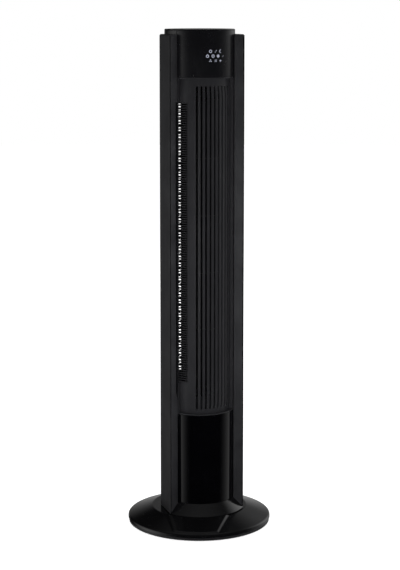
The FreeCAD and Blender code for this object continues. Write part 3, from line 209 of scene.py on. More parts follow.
class Palette:
    """Every finish on the fan, made once. The grain of moulded plastic is a tenth of a millimetre on the
    real parts and is drawn about eight times coarser so that it shows."""

    # Satin ABS from a finely eroded mould: a soft, slightly grainy sheen.
    SATIN_ABS = Finish("satin_abs", "#0C0C0E", 0.30, 0.05, 0.8, 0.012, tint="#101012")
    # The wings are left as they come from a coarser mould, so they look a little paler and duller.
    WING_ABS = Finish("wing_abs", "#202022", 0.42, 0.04, 0.9, 0.012, tint="#2A2A2C")
    # Painted shade: a near-black, sheenless finish on the faces of the wings' fine groove, standing in for the shadow
    # in it.
    GROOVE_SHADE = Finish("painted_groove_shade", "#020202", 0.7, 0.05, 0.8, 0.01, specular=0.0, tint="#040404")
    # High-gloss ABS from a polished mould: mirror-like with a faint waviness.
    GLOSS_ABS = Finish("gloss_abs", "#010102", 0.07, 0.02, 26.0, 0.010, Surface.POLISHED, tint="#020203")
    # Semi-gloss ABS of the base, which picks up fine handling marks.
    BASE_ABS = Finish("base_abs", "#060607", 0.15, 0.03, 18.0, 0.012, Surface.POLISHED, tint="#09090A")
    # Glass-filled polypropylene of the grilles, matt from the mould.
    GRILLE_PP = Finish("grille_polypropylene", "#1E1E20", 0.38, 0.05, 0.8, 0.014, tint="#222224")
    # Polypropylene with a leathery grain on the underside.
    PAN_PP = Finish("pan_polypropylene", "#19191B", 0.55, 0.06, 1.6, 0.08, tint="#1F1F21")
    # Plain ABS of the inner duct parts.
    DUCT_ABS = Finish("duct_abs", "#060607", 0.50, 0.05, 1.0, 0.02, tint="#09090A")
    # Glass-filled polypropylene of the impeller.
    IMPELLER_PP = Finish("impeller_polypropylene", "#08080A", 0.45, 0.05, 1.0, 0.02, tint="#0C0C0E")
    # Natural acetal: milky white and waxy.
    ACETAL = Finish("acetal", "#E6E3D8", 0.35, 0.04, 2.0, 0.01, Surface.POLISHED, ior=1.48, tint="#DDD9CC")
    # Nitrile rubber: dull, with mould bloom.
    RUBBER = Finish("nitrile_rubber", "#1A1A1A", 0.82, 0.06, 0.9, 0.04, ior=1.52, tint="#232322")
    # Rolled mild steel under a thin zinc coat.
    ZINC_STEEL = Finish("zinc_steel", "#B9BAB6", 0.38, 0.06, 1.2, 0.015, metallic=1.0, tint="#A7A9A6")
    # Black-oxidised screws, as fitted to dark housings.
    BLACK_SCREW = Finish("black_oxide_steel", "#3A3A3C", 0.42, 0.06, 0.9, 0.015, metallic=1.0, tint="#2E2E30")
    # Ground shaft steel with lines round it.
    GROUND_STEEL = Finish("ground_steel", "#C6C7C9", 0.22, 0.04, 0.8, 0.01, Surface.BRUSHED, 1.0, tint="#BBBCC0")
    # Motor can in black stove enamel.
    ENAMEL = Finish("motor_enamel", "#17181A", 0.40, 0.05, 1.2, 0.02, tint="#1D1E20")
    # Sintered oil-filled bronze: open pores.
    BRONZE = Finish("sintered_bronze", "#A8794A", 0.45, 0.06, 0.9, 0.05, metallic=1.0, tint="#966A40")
    # Epoxy glass board under green solder lacquer.
    BOARD = Finish("epoxy_glass_board", "#1D4A2A", 0.30, 0.05, 1.0, 0.03, Surface.LAMINATE, tint="#22532F")
    # Frosted polycarbonate that spreads the lamps' light.
    FROSTED_PC = Finish("frosted_polycarbonate", "#D4DADF", 0.45, 0.05, 0.8, 0.02, ior=1.58, tint="#C9D0D6")
    # Signs screen-printed clear in the black head and lit from behind, a cool dim white.
    SIGN = Finish("lit_sign", "#8C8F9C", 0.4, 0.03, 0.8, 0.004, Surface.LIT, glow=0.3, tint="#8C8F9C")

    def __init__(self) -> None:
        """Starts with nothing made."""
        self._made: dict[str, bpy.types.Material] = {}

    def get(self, finish: Finish) -> bpy.types.Material:
        """Returns the Blender material of a finish, making it on first use."""
        if finish.name not in self._made:
            self._made[finish.name] = finish.build()
        return self._made[finish.name]

    def dress(self, piece: bpy.types.Object, finish: Finish) -> None:
        """Gives a piece one finish all over."""
        piece.data.materials.clear()
        piece.data.materials.append(self.get(finish))


# ---- mesh building ------------------------------------------------------------------------------
@dataclass
class Shape:
    """Vertices and faces that grow part by part.

    Attributes:
        points: one array of vertices for each part, in millimetres.
        faces: vertex numbers of each face.
    """

    points: list[np.ndarray] = field(default_factory=list)
    faces: list[tuple[int, ...]] = field(default_factory=list)
    count: int = 0

    def add(self, points: np.ndarray, faces: Sequence[Sequence[int]]) -> "Shape":
        """Adds a part whose faces number its own points from 0."""
        self.points.append(np.asarray(points, float).reshape(-1, 3))
        self.faces.extend(tuple(int(i) + self.count for i in face) for face in faces)
        self.count += len(self.points[-1])
        return self

    def object(self, name: str, sharp_deg: float = 35.0, bevel_mm: float = 0.0) -> bpy.types.Object:
        """Makes the Blender object, with vertices in the same place joined.

        Args:
            name: the piece's name.
            sharp_deg: edges that turn by more than this stay sharp.
            bevel_mm: radius of the rounding on those edges, or 0 for none.

        Returns:
            The object, at the origin, with its place in its mesh.
        """
        points = np.concatenate(self.points) * MM
        _, first, where = np.unique(np.round(points, 7), axis=0, return_index=True, return_inverse=True)
        where = where.reshape(-1)
        joined = [[int(where[i]) for i in face] for face in self.faces]
        joined = [[v for k, v in enumerate(face) if v != face[k - 1]] for face in joined]
        mesh = bpy.data.meshes.new(name)
        mesh.from_pydata(points[first].tolist(), [], [face for face in joined if len(face) > 2])
        mesh.validate()
        mesh.polygons.foreach_set("use_smooth", np.ones(len(mesh.polygons), bool))
        mesh.set_sharp_from_angle(angle=math.radians(sharp_deg))
        piece = bpy.data.objects.new(name, mesh)
        bpy.context.scene.collection.objects.link(piece)
        if bevel_mm:
            bevel = piece.modifiers.new("edges", "BEVEL")
            bevel.width = bevel_mm * MM
            bevel.segments = 2
            bevel.limit_method = "ANGLE"
            bevel.angle_limit = math.radians(sharp_deg)
            bevel.harden_normals = False
        return piece


def grid_faces(rows: int, columns: int, wrap_rows: bool = False, wrap_columns: bool = False,
               flip: bool = False) -> np.ndarray:
    """Quads over a grid of points that is numbered row by row.

    Args:
        rows: number of rows of points.
        columns: number of points in a row.
        wrap_rows: joins the last row to the first.
        wrap_columns: joins the last column to the first.
        flip: turns the faces over.

    Returns:
        One row of four vertex numbers for each quad.
    """
    r = np.arange(rows if wrap_rows else rows - 1)
    c = np.arange(columns if wrap_columns else columns - 1)
    i, j = (a.ravel() for a in np.meshgrid(r, c, indexing="ij"))
    k, m = (i + 1) % rows, (j + 1) % columns
    quads = np.stack([i * columns + j, k * columns + j, k * columns + m, i * columns + m], axis=1)
    return quads[:, ::-1] if flip else quads


def around(radius: np.ndarray, angle: np.ndarray, z: np.ndarray, centre_y: float = 0.0) -> np.ndarray:
    """Points on circles about a vertical axis: x = r sin a, y = centre - r cos a, with a in degrees."""
    a = np.radians(angle)
    return np.stack(np.broadcast_arrays(radius * np.sin(a), centre_y - radius * np.cos(a), z), axis=-1)


def swept_profile(profile: Sequence[tuple[float, float]], angles: np.ndarray, centre_y: float,
                  closed: bool = False) -> Shape:
    """A closed (radius, z) outline carried round a vertical axis.

    Args:
        profile: outline, clockwise as seen with the radius to the right and z up.
        angles: angles in degrees at which the outline is set.
        centre_y: place of the axis.
        closed: the angles make a full turn and the last isn't the first again.

    Returns:
        The shell, with flat ends where it isn't a full turn.
    """
    outline = np.array(profile, float)
    points = around(outline[None, :, 0], np.asarray(angles)[:, None], outline[None, :, 1], centre_y)
    rows, columns = points.shape[:2]
    faces = [tuple(q) for q in grid_faces(rows, columns, closed, True, flip=True)]
    if not closed:
        faces += [tuple(range(columns)), tuple(range((rows - 1) * columns, rows * columns))[::-1]]
    return Shape().add(points, faces)


def rounded(corners: Sequence[tuple[float, float, float]], steps: int = 4) -> list[tuple[float, float]]:
    """An outline whose corners are rounded: each corner is (a, b, radius).

    The arc at a corner is a quadratic curve between points one radius away on its two sides.
    """
    points = np.array([c[:2] for c in corners], float)
    outline: list[tuple[float, float]] = []
    for i, (_, _, radius) in enumerate(corners):
        here, before, after = points[i], points[i - 1], points[(i + 1) % len(points)]
        if radius <= 0:
            outline.append(tuple(here))
            continue
        start = here + (before - here) / np.linalg.norm(before - here) * radius
        end = here + (after - here) / np.linalg.norm(after - here) * radius
        t = np.linspace(0, 1, steps + 1)[:, None]
        outline += [tuple(p) for p in (1 - t) ** 2 * start + 2 * t * (1 - t) * here + t ** 2 * end]
    return outline


def pierced_shell(u: np.ndarray, v: np.ndarray, keep: np.ndarray, outer: Grid, inner: Grid) -> Shape:
    """A curved wall over a grid of cells, some of which are left open.

    The outer and inner faces are two maps of the same grid, and a wall closes each edge where a kept
    cell meets an open one.

    Args:
        u: first parameter at each grid point, as a 2D array.
        v: second parameter at each grid point, as a 2D array.
        keep: which cells are solid.
        outer: map of the grid to the outer face.
        inner: map of the grid to the inner face.

    Returns:
        The closed shell.
    """
    rows, columns = u.shape
    total = rows * columns
    number = np.arange(total).reshape(rows, columns)
    i, j = np.nonzero(keep)
    quads = np.stack([number[i, j], number[i + 1, j], number[i + 1, j + 1], number[i, j + 1]], axis=1)
    faces = [quads, quads[:, ::-1] + total]
    padded = np.pad(keep, 1)
    along_v = padded[1:, 1:-1].astype(int) - padded[:-1, 1:-1].astype(int)
    along_u = padded[1:-1, 1:].astype(int) - padded[1:-1, :-1].astype(int)
    for sign in (1, -1):
        i, j = np.nonzero(along_v == sign)
        wall = np.stack([number[i, j], number[i, j + 1], number[i, j + 1] + total, number[i, j] + total], axis=1)
        faces.append(wall if sign > 0 else wall[:, ::-1])
        i, j = np.nonzero(along_u == sign)
        wall = np.stack([number[i, j], number[i, j] + total, number[i + 1, j] + total, number[i + 1, j]], axis=1)
        faces.append(wall if sign > 0 else wall[:, ::-1])
    points = np.concatenate([outer(u, v).reshape(-1, 3), inner(u, v).reshape(-1, 3)])
    quads = np.concatenate(faces)
    used = np.unique(quads)
    renumber = np.zeros(2 * total, int)
    renumber[used] = np.arange(len(used))
    return Shape().add(points[used], renumber[quads])


def smooth_step(x: np.ndarray) -> np.ndarray:
    """Rises from 0 to 1 as x does, level at both ends: 3x^2 - 2x^3."""
    t = np.clip(x, 0, 1)
    return t * t * (3 - 2 * t)


# ---- sub-assemblies -----------------------------------------------------------------------------
@dataclass
class FanPart:
    """What every sub-assembly shares: the palette, and the CAD body that its pieces ride on."""

    palette: Palette
    body: str = "column"

    def place(self, piece: bpy.types.Object, finish: Finish, slot: str, *nodes: str) -> bpy.types.Object:
        """Dresses a piece, joins it to its body, and hides the CAD nodes that it stands for.

        Args:
            piece: the finished piece.
            finish: what it is made of.
            slot: the record's material slot; not used.
            nodes: CAD nodes that it replaces.

        Returns:
            The piece.
        """
        self.palette.dress(piece, finish)
        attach(piece, self.body)
        if nodes:
            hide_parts(*nodes)
        log.info("%s: %d faces, %s, on %s", piece.name, len(piece.data.polygons), finish.name, self.body)
        return piece


@dataclass
class Base(FanPart):
    """The round base: a shallow cone with a raised apron, over a pan. Sizes in millimetres."""

    body: str = "base"
    turn: float = -21.0
    radius: float = 150.0
    rim_top: float = 17.6
    rim_round: float = 3.2
    cover_bottom: float = 11.1
    wall: float = 2.8
    hub_z: float = 36.0
    hub_radius: float = 99.31
    hub_hole: float = 52.0
    apron_raise: float = 2.1
    apron_edge: float = 5.5
    apron_top_half: float = 64.5
    apron_top_forward: float = 72.9
    apron_end_half: float = 44.0
    apron_end_forward: float = 142.0

    def apron(self, radius: np.ndarray, angle: np.ndarray) -> np.ndarray:
        """Height of the apron above the cone: a step along its leaning sides that fades out at the rim."""
        across = np.abs(radius * np.sin(np.radians(angle)))
        forward = radius * np.cos(np.radians(angle))
        narrowing = (self.apron_top_half - self.apron_end_half) / (self.apron_end_forward - self.apron_top_forward)
        half = self.apron_top_half - narrowing * (forward - self.apron_top_forward)
        side = smooth_step((half - across) / self.apron_edge + 0.5)
        end = smooth_step((self.radius - self.rim_round - radius) / 3.0)
        inside = smooth_step((radius - self.hub_radius) / 0.6)
        return self.apron_raise * side * end * inside * (forward > 0)

    def cover(self) -> bpy.types.Object:
        """The cone as a profile carried all the way round, lifted where the apron is."""
        slope = (self.hub_z - self.rim_top) / (self.radius - self.hub_radius)
        rise = np.concatenate([[self.hub_hole, self.hub_radius - 2, self.hub_radius],
                               np.linspace(self.hub_radius + 0.6, self.radius - self.rim_round, 40)])
        height = np.where(rise <= self.hub_radius, self.hub_z, self.hub_z - slope * (rise - self.hub_radius))
        t = np.linspace(0, 1, 7)[1:]
        bend = np.stack([self.radius - self.rim_round * (1 - t) ** 2,
                         self.rim_top + slope * self.rim_round * (1 - t) ** 2 - self.rim_round * t ** 2], axis=1)
        inner = np.array([[self.radius, self.cover_bottom], [self.radius - self.wall, self.cover_bottom],
                          [self.radius - self.wall, self.rim_top - self.wall],
                          [self.hub_radius, self.hub_z - self.wall], [self.hub_hole, self.hub_z - self.wall]])
        radius = np.concatenate([rise, bend[:, 0], inner[:, 0]])
        z = np.concatenate([height, bend[:, 1], inner[:, 1]])
        fine = np.arange(-38, 38, 0.4)
        coarse = np.arange(38, 322, 2.0)
        angle = np.concatenate([fine, coarse])
        lifted = z[None, :] + np.where(np.arange(len(z)) < len(rise), 1, 0)[None, :] * self.apron(
            radius[None, :], angle[:, None])
        points = around(radius[None, :], angle[:, None] + self.turn, lifted)
        shape = Shape().add(points, grid_faces(len(angle), len(radius), True, True, flip=True))
        return self.place(shape.object("base_cone"), Palette.BASE_ABS, "base_shell", "base_cover")

    def build(self) -> None:
        """Makes the base's own pieces."""
        self.cover()


@dataclass
class Core(FanPart):
    """The round core: panel, head and cap. Sizes in millimetres."""

    centre_y: float = -4.5
    radius: float = 72.5
    wall: float = 2.8
    span: float = 57.0
    panel_bottom: float = 59.4
    panel_top: float = 247.0
    head_bottom: float = 943.5
    head_top: float = 1037.2
    cap_bottom: float = 1037.5
    top: float = 1040.0

    def front_shell(self, name: str, z0: float, z1: float, top_round: float) -> bpy.types.Object:
        """A front shell: a rounded wall section carried round the core between the wings."""
        inner = self.radius - self.wall
        profile = rounded([(inner, z0, 0.3), (inner, z1, 0.3), (self.radius, z1, top_round), (self.radius, z0, 0.6)])
        return swept_profile(profile, np.linspace(-self.span, self.span, 77), self.centre_y).object(name)

    def cap(self) -> bpy.types.Object:
        """The cap, turned, with a bevelled edge and its skirt inside the shells."""
        skirt = self.radius - self.wall - 0.3
        low = self.cap_bottom
        profile = rounded([(skirt - 3, low - 8.5, 0), (skirt - 3, low + 0.3, 0), (0.01, low + 0.3, 0),
                           (0.01, self.top, 0), (self.radius - 1.3, self.top, 0.5), (self.radius, self.top - 1.2, 0.5),
                           (self.radius, low, 0.3), (skirt, low, 0), (skirt, low - 8.5, 0)])
        return swept_profile(profile, np.arange(0, 360, 2.0), self.centre_y, closed=True).object("cap")

    def build(self) -> None:
        """Makes the core's smooth shells."""
        panel = self.front_shell("gloss_front", self.panel_bottom, self.panel_top, 0.8)
        self.place(panel, Palette.GLOSS_ABS, "gloss_panel", "lower_panel")
        head = self.front_shell("touch_head", self.head_bottom, self.head_top, 0.9)
        self.place(head, Palette.SATIN_ABS, "body_shell", "control_head")
        self.place(self.cap(), Palette.SATIN_ABS, "body_shell", "top_cap")


@dataclass
class Sill(FanPart):
    """The sloped sill and the ring it belongs to. Sizes in millimetres."""

    centre_y: float = -4.5
    bottom: float = 37.7
    top: float = 59.1
    foot_radius: float = 94.01
    core_radius: float = 72.5
    inner_radius: float = 62.0
    half_angle: float = 57.7

    def build(self) -> None:
        """One turned ring whose outer face leans out in front: r falls from the foot to the core radius."""
        fine = np.linspace(-self.half_angle, self.half_angle, 89)
        rest = np.linspace(self.half_angle + 0.05, 359.95 - self.half_angle, 80)
        angle = np.concatenate([fine, rest])
        front = (np.abs(angle) <= self.half_angle + 0.01).astype(float)
        t = np.array([0.0, 0.0, 0.02, 0.35, 0.7, 1.0, 1.0])
        z = self.bottom + np.array([0.0, 0.0, 0.5, 7.5, 15.0, 21.4, 21.4])
        lean = np.array([0.0, 0.985, 1.0, 0.66, 0.30, 0.0, 0.0])
        lean[3:5] = 1 - (z[3:5] - self.bottom) / (self.top - self.bottom)
        base = np.array([self.inner_radius] + [self.core_radius] * 5 + [self.inner_radius])
        reach = (self.foot_radius - self.core_radius) * lean
        radius = base[None, :] + front[:, None] * reach[None, :]
        points = around(radius, angle[:, None], z[None, :] + 0 * t, self.centre_y)
        shape = Shape().add(points, grid_faces(len(angle), len(z), True, True))
        self.place(shape.object("sill"), Palette.BASE_ABS, "body_shell", "foot_collar")


@dataclass
class Wing(FanPart):
    """One flat side wing, as a plan outline carried up through levels. Sizes in millimetres."""

    side: int = -1
    centre_y: float = -4.5
    bottom: float = 37.7
    top: float = 1029.5
    outer_x: float = 79.9
    front: float = 54.03
    inner_x: float = 61.19
    inner_front: float = 45.93
    rear: float = -18.2
    back_radius: float = 72.65
    rear_angle: float = 118.0
    notch: float = 4.0
    notch_low: float = 278.0
    notch_slope: float = 14.0
    notch_high: float = 893.0
    top_round: float = 3.5
    rear_round: float = 3.0
    groove: tuple[float, float, float] = (0.7, 2.5, 1.2)

    def outline(self, notch: float, trim: float) -> np.ndarray:
        """Plan of the wing at one level, front to rear, as (x, forward) pairs.

        Args:
            notch: how far the inner edge has moved outwards.
            trim: how far the outer face has moved inwards.

        Returns:
            The outline's points.
        """
        lean = (self.front - self.inner_front) / (self.outer_x - self.inner_x)
        x_in = self.inner_x + notch
        inner = (x_in, self.inner_front + lean * notch)
        x_out = self.outer_x - trim
        corner = np.array([x_out, self.front - lean * trim])
        along = np.array([-1.0, -lean]) / math.hypot(1.0, lean)
        inward = np.array([-along[1], along[0]])
        near, far, depth = self.groove
        groove = [(*(corner + along * share + inward * sunk), 0.0) for share, sunk in (
            (far, 0.0), (far, depth), (near, depth), (near, 0.0))]
        start = math.degrees(math.asin(min(1.0, x_in / self.back_radius))) + 0.3 + 0.4 * notch
        arc = np.linspace(start, self.rear_angle, 22)
        back = [(self.back_radius * math.sin(math.radians(a)),
                 -self.centre_y + self.back_radius * math.cos(math.radians(a)), 0.0) for a in arc]
        corners = [(*inner, 0.5), *groove, (*corner, 0.3), (x_out, self.rear, self.rear_round)]
        return np.array(rounded(corners + back[::-1], 6))

    def build(self) -> None:
        """Carries the outline up, with the notch beside the intake and the rounded outer top corner."""
        turn = np.linspace(0, math.pi / 2, 7)
        top_levels = self.top - self.top_round * (1 - np.sin(turn))
        trims = self.top_round * (1 - np.cos(turn))
        depth = self.notch if self.side < 0 else 0.0
        levels = [(self.bottom, 0.0, 0.0), (self.notch_low, 0.0, 0.0),
                  (self.notch_low + self.notch_slope, depth, 0.0), (self.notch_high - 0.1, depth, 0.0),
                  (self.notch_high + 0.1, 0.0, 0.0)]
        levels += [(float(z), 0.0, float(trim)) for z, trim in zip(top_levels, trims)]
        rings = []
        for z, notch, trim in levels:
            plan = self.outline(notch, trim)
            rings.append(np.column_stack([self.side * plan[:, 0], -plan[:, 1], np.full(len(plan), z)]))
        points = np.array(rings)
        rows, columns = points.shape[:2]
        faces = [tuple(q) for q in grid_faces(rows, columns, False, True, flip=self.side < 0)]
        low, high = tuple(range(columns)), tuple(range((rows - 1) * columns, rows * columns))
        faces += [low, high[::-1]] if self.side > 0 else [low[::-1], high]
        name = "left" if self.side < 0 else "right"
        piece = Shape().add(points, faces).object(f"{name}_fin")
        self.place(piece, Palette.WING_ABS, "wing_shell", f"{name}_wing")
        self.paint_groove_shade(piece)

    def paint_groove_shade(self, piece: bpy.types.Object) -> None:
        """Paints shade into the groove: its faces, those whose middle lies under the bevel's plane, get a near-black,
        sheenless finish that stands in for the groove's shadow.
        """
        piece.data.materials.append(self.palette.get(Palette.GROOVE_SHADE))
        middles = np.empty(3 * len(piece.data.polygons))
        piece.data.polygons.foreach_get("center", middles)
        x, y, _ = (middles.reshape(-1, 3) / MM).T
        lean = (self.front - self.inner_front) / (self.outer_x - self.inner_x)
        across, forward = self.outer_x - self.side * x, self.front + y
        along = (across + lean * forward) / math.hypot(1.0, lean)
        sunk = (forward - lean * across) / math.hypot(1.0, lean)
        near, far, depth = self.groove
        inside = (sunk > 0.05) & (sunk < depth + 0.05) & (along > near - 0.05) & (along < far + 0.05)
        # Painted shade: faces inside the groove take the second, near-black finish.
        piece.data.polygons.foreach_set("material_index", inside.astype(np.int32))


@dataclass
class Grilles(FanPart):
    """Outlet barrel, side intake and rear shell, all as walls with rows of openings. Millimetres."""

    centre_y: float = -4.5
    core_radius: float = 72.5
    wall: float = 2.8
    span: float = 57.0
    barrel: float = 66.0
    barrel_end: float = 62.5
    barrel_wall: float = 4.0
    low: float = 247.3
    high: float = 943.2
    taper_low: float = 276.0
    taper_high: float = 905.0
    slot_low: float = 258.6
    slot_high: float = 925.8
    outlet_turn: float = 9.8
    pitch: float = 8.2
    slots: int = 9
    slot_width: float = 4.0
    window_left: float = -39.3
    window_low: float = 313.0
    window_high: float = 893.0
    rib_pitch: float = 4.8
    rib_gap: float = 2.8
    screen_reach: float = 3.5
    screen_inset: float = 0.4
    screen_wall: float = 1.6
    rear_low: float = 59.4
    rear_high: float = 1037.2
    rear_edge: float = 58.0
    lip_span: float = 1.5
    rear_half: float = 56.0
    rear_columns: int = 4
    rear_bar: float = 2.0
    rear_pitch: float = 7.2
    rear_gap: float = 4.0

    def barrel_radius(self, z: np.ndarray) -> np.ndarray:
        """Radius of the barrel at a height: full between the tapers and smaller at both ends."""
        return np.interp(z, [self.low, self.taper_low, self.taper_high, self.high],
                         [self.barrel_end, self.barrel, self.barrel, self.barrel_end])

    def outlet(self) -> bpy.types.Object:
        """The barrel with its upright slots, whose ends are drawn in to half rounds."""
        half = math.degrees(self.slot_width / 2 / self.barrel)
        middles = self.outlet_turn + (np.arange(self.slots) - (self.slots - 1) / 2) * self.pitch
        edges = np.sort(np.concatenate([middles - half, middles + half]))
        left = np.linspace(-self.span, edges[0], 14)[:-1]
        left = np.sort(np.append(left, [self.window_left]))
        right = np.linspace(edges[-1], self.span, 4)[1:]
        slats = (edges[1:-1:2] + edges[2::2]) / 2
        u = np.sort(np.concatenate([left, edges, slats, right]))
        ends = np.array([0.0, 0.35, 0.9, 2.0])
        z = np.unique(np.concatenate([
            [self.low, self.low + 2.2, self.taper_low, self.taper_high, self.high - 2.2, self.high],
            [self.window_low, self.window_high], self.slot_low + ends, self.slot_high - ends,
            np.linspace(self.taper_low, self.taper_high, 9)]))
        angle, height = np.meshgrid(u, z, indexing="ij")
        centre_angle = (u[:-1] + u[1:]) / 2
        centre_z = (z[:-1] + z[1:]) / 2
        in_slot = np.min(np.abs(centre_angle[:, None] - middles[None, :]), axis=1) < half
        in_height = (centre_z > self.slot_low) & (centre_z < self.slot_high)
        window = (centre_angle[:, None] < self.window_left) & (
            (centre_z > self.window_low) & (centre_z < self.window_high))[None, :]
        keep = ~(in_slot[:, None] & in_height[None, :]) & ~window
        nearest = middles[np.argmin(np.abs(u[:, None] - middles[None, :]), axis=1)]
        is_edge = np.isclose(np.abs(u - nearest), half)
        depth = np.minimum(height - self.slot_low, self.slot_high - height)
        radius = self.slot_width / 2
        reach = np.sqrt(np.clip(1 - (1 - np.clip(depth / radius, 0, 1)) ** 2, 0.02, 1))
        shrink = np.where(is_edge[:, None] & (depth >= -0.01), reach, 1.0)
        angle = nearest[:, None] + (angle - nearest[:, None]) * shrink

        def outer(a: np.ndarray, h: np.ndarray) -> np.ndarray:
            """Outer face of the barrel."""
            return around(self.barrel_radius(h), a, h, self.centre_y)

        def inner(a: np.ndarray, h: np.ndarray) -> np.ndarray:
            """Inner face, one wall further in."""
            return around(self.barrel_radius(h) - self.barrel_wall, a, h, self.centre_y)

        shape = pierced_shell(angle, height, keep, outer, inner)
        ledge = self.core_radius - 0.3
        inside = self.barrel_end - self.barrel_wall
        for z0 in (self.low, self.high - 2.2):
            profile = [(inside, z0), (inside, z0 + 2.2), (ledge, z0 + 2.2), (ledge, z0)]
            part = swept_profile(profile, np.linspace(-self.span, self.span, 58), self.centre_y)
            shape.add(part.points[0], part.faces)
        deep, face = self.barrel - self.barrel_wall - 6.0, self.barrel - 1.0
        for a0, r0, r1, z0, z1 in ((self.span - 1.8, inside, ledge, self.low, self.high),
                                   (-self.span, inside, ledge, self.low, self.window_low),
                                   (-self.span, inside, ledge, self.window_high, self.high),
                                   (self.window_left, deep, face, self.window_low, self.window_high)):
            part = swept_profile([(r0, z0), (r0, z1), (r1, z1), (r1, z0)], np.linspace(a0, a0 + 1.8, 3), self.centre_y)
            shape.add(part.points[0], part.faces)
        return shape.object("outlet_barrel", 40.0, 0.45)

    def side_intake(self) -> bpy.types.Object:
        """The ribbed intake: one column of flat openings between narrow rims."""
        a0, a1, rim = -self.rear_edge - self.screen_reach, self.window_left - 0.3, 1.0
        z0, z1 = self.window_low + 0.3, self.window_high - 0.3
        rows = int((z1 - z0 - self.rib_gap) / self.rib_pitch)
        first = (z0 + z1 - (rows - 1) * self.rib_pitch - self.rib_gap) / 2
        starts = first + np.arange(rows) * self.rib_pitch
        u = np.concatenate([[a0], np.linspace(a0 + rim, a1 - rim, 5), [a1]])
        z = np.sort(np.concatenate([[z0, z1], starts, starts + self.rib_gap]))
        angle, height = np.meshgrid(u, z, indexing="ij")
        column = np.zeros(len(u) - 1, bool)
        column[1:-1] = True
        row = np.zeros(len(z) - 1, bool)
        row[1:-1:2] = True
        keep = ~(column[:, None] & row[None, :])
        outer_radius = self.barrel - self.screen_inset
        inner_radius = outer_radius - self.screen_wall
        shape = pierced_shell(angle, height, keep,
                              lambda a, h: around(outer_radius, a, h, self.centre_y),
                              lambda a, h: around(inner_radius, a, h, self.centre_y))
        profile = [(inner_radius, z0), (inner_radius, z1), (self.core_radius - self.wall - 0.3, z1),
                   (self.core_radius - self.wall - 0.3, z0)]
        flange = swept_profile(profile, np.linspace(a0, a0 + 1.2, 3), self.centre_y)
        shape.add(flange.points[0], flange.faces)
        return shape.object("side_intake", 40.0, 0.25)

    def rear(self) -> bpy.types.Object:
        """The rear shell with four columns of flat openings."""
        width = (2 * self.rear_half - (self.rear_columns - 1) * self.rear_bar) / self.rear_columns
        lefts = 180 - self.rear_half + np.arange(self.rear_columns) * (width + self.rear_bar)
        inside = [np.linspace(a, a + width, 6) for a in lefts]
        sides = [np.linspace(self.rear_edge, lefts[0], 18)[:-1],
                 np.linspace(lefts[-1] + width, 360 - self.rear_edge, 18)[1:]]
        u = np.concatenate([sides[0], *inside, sides[1]])
        rows = int((self.window_high - self.window_low) / self.rear_pitch)
        starts = self.window_low + np.arange(rows) * self.rear_pitch
        z = np.sort(np.concatenate([[self.rear_low, self.rear_high], starts, starts + self.rear_gap]))
        angle, height = np.meshgrid(u, z, indexing="ij")
        middle = (u[:-1] + u[1:]) / 2
        column = ((middle[:, None] > lefts[None, :]) & (middle[:, None] < lefts[None, :] + width)).any(axis=1)
        row = np.zeros(len(z) - 1, bool)
        row[1:-1:2] = True
        keep = ~(column[:, None] & row[None, :])
        shape = pierced_shell(angle, height, keep,
                              lambda a, h: around(self.core_radius, a, h, self.centre_y),
                              lambda a, h: around(self.core_radius - self.wall, a, h, self.centre_y))
        lip_in = self.barrel - self.screen_inset - self.screen_wall
        lip_out = self.core_radius - self.wall + 0.5
        for a0, z0, z1 in ((self.rear_edge, self.low, self.high),
                           (-self.rear_edge - self.lip_span, self.low, self.window_low),
                           (-self.rear_edge - self.lip_span, self.window_high, self.high)):
            profile = [(lip_in, z0), (lip_in, z1), (lip_out, z1), (lip_out, z0)]
            part = swept_profile(profile, np.linspace(a0, a0 + self.lip_span, 3), self.centre_y)
            shape.add(part.points[0], part.faces)
        return shape.object("rear_shell", 40.0, 0.4)

    def build(self) -> None:
        """Makes the three walls."""
        self.place(self.outlet(), Palette.GRILLE_PP, "grille_black", "front_grille")
        self.place(self.side_intake(), Palette.GRILLE_PP, "grille_black", "side_screen")
        self.place(self.rear(), Palette.SATIN_ABS, "body_shell", "rear_housing")


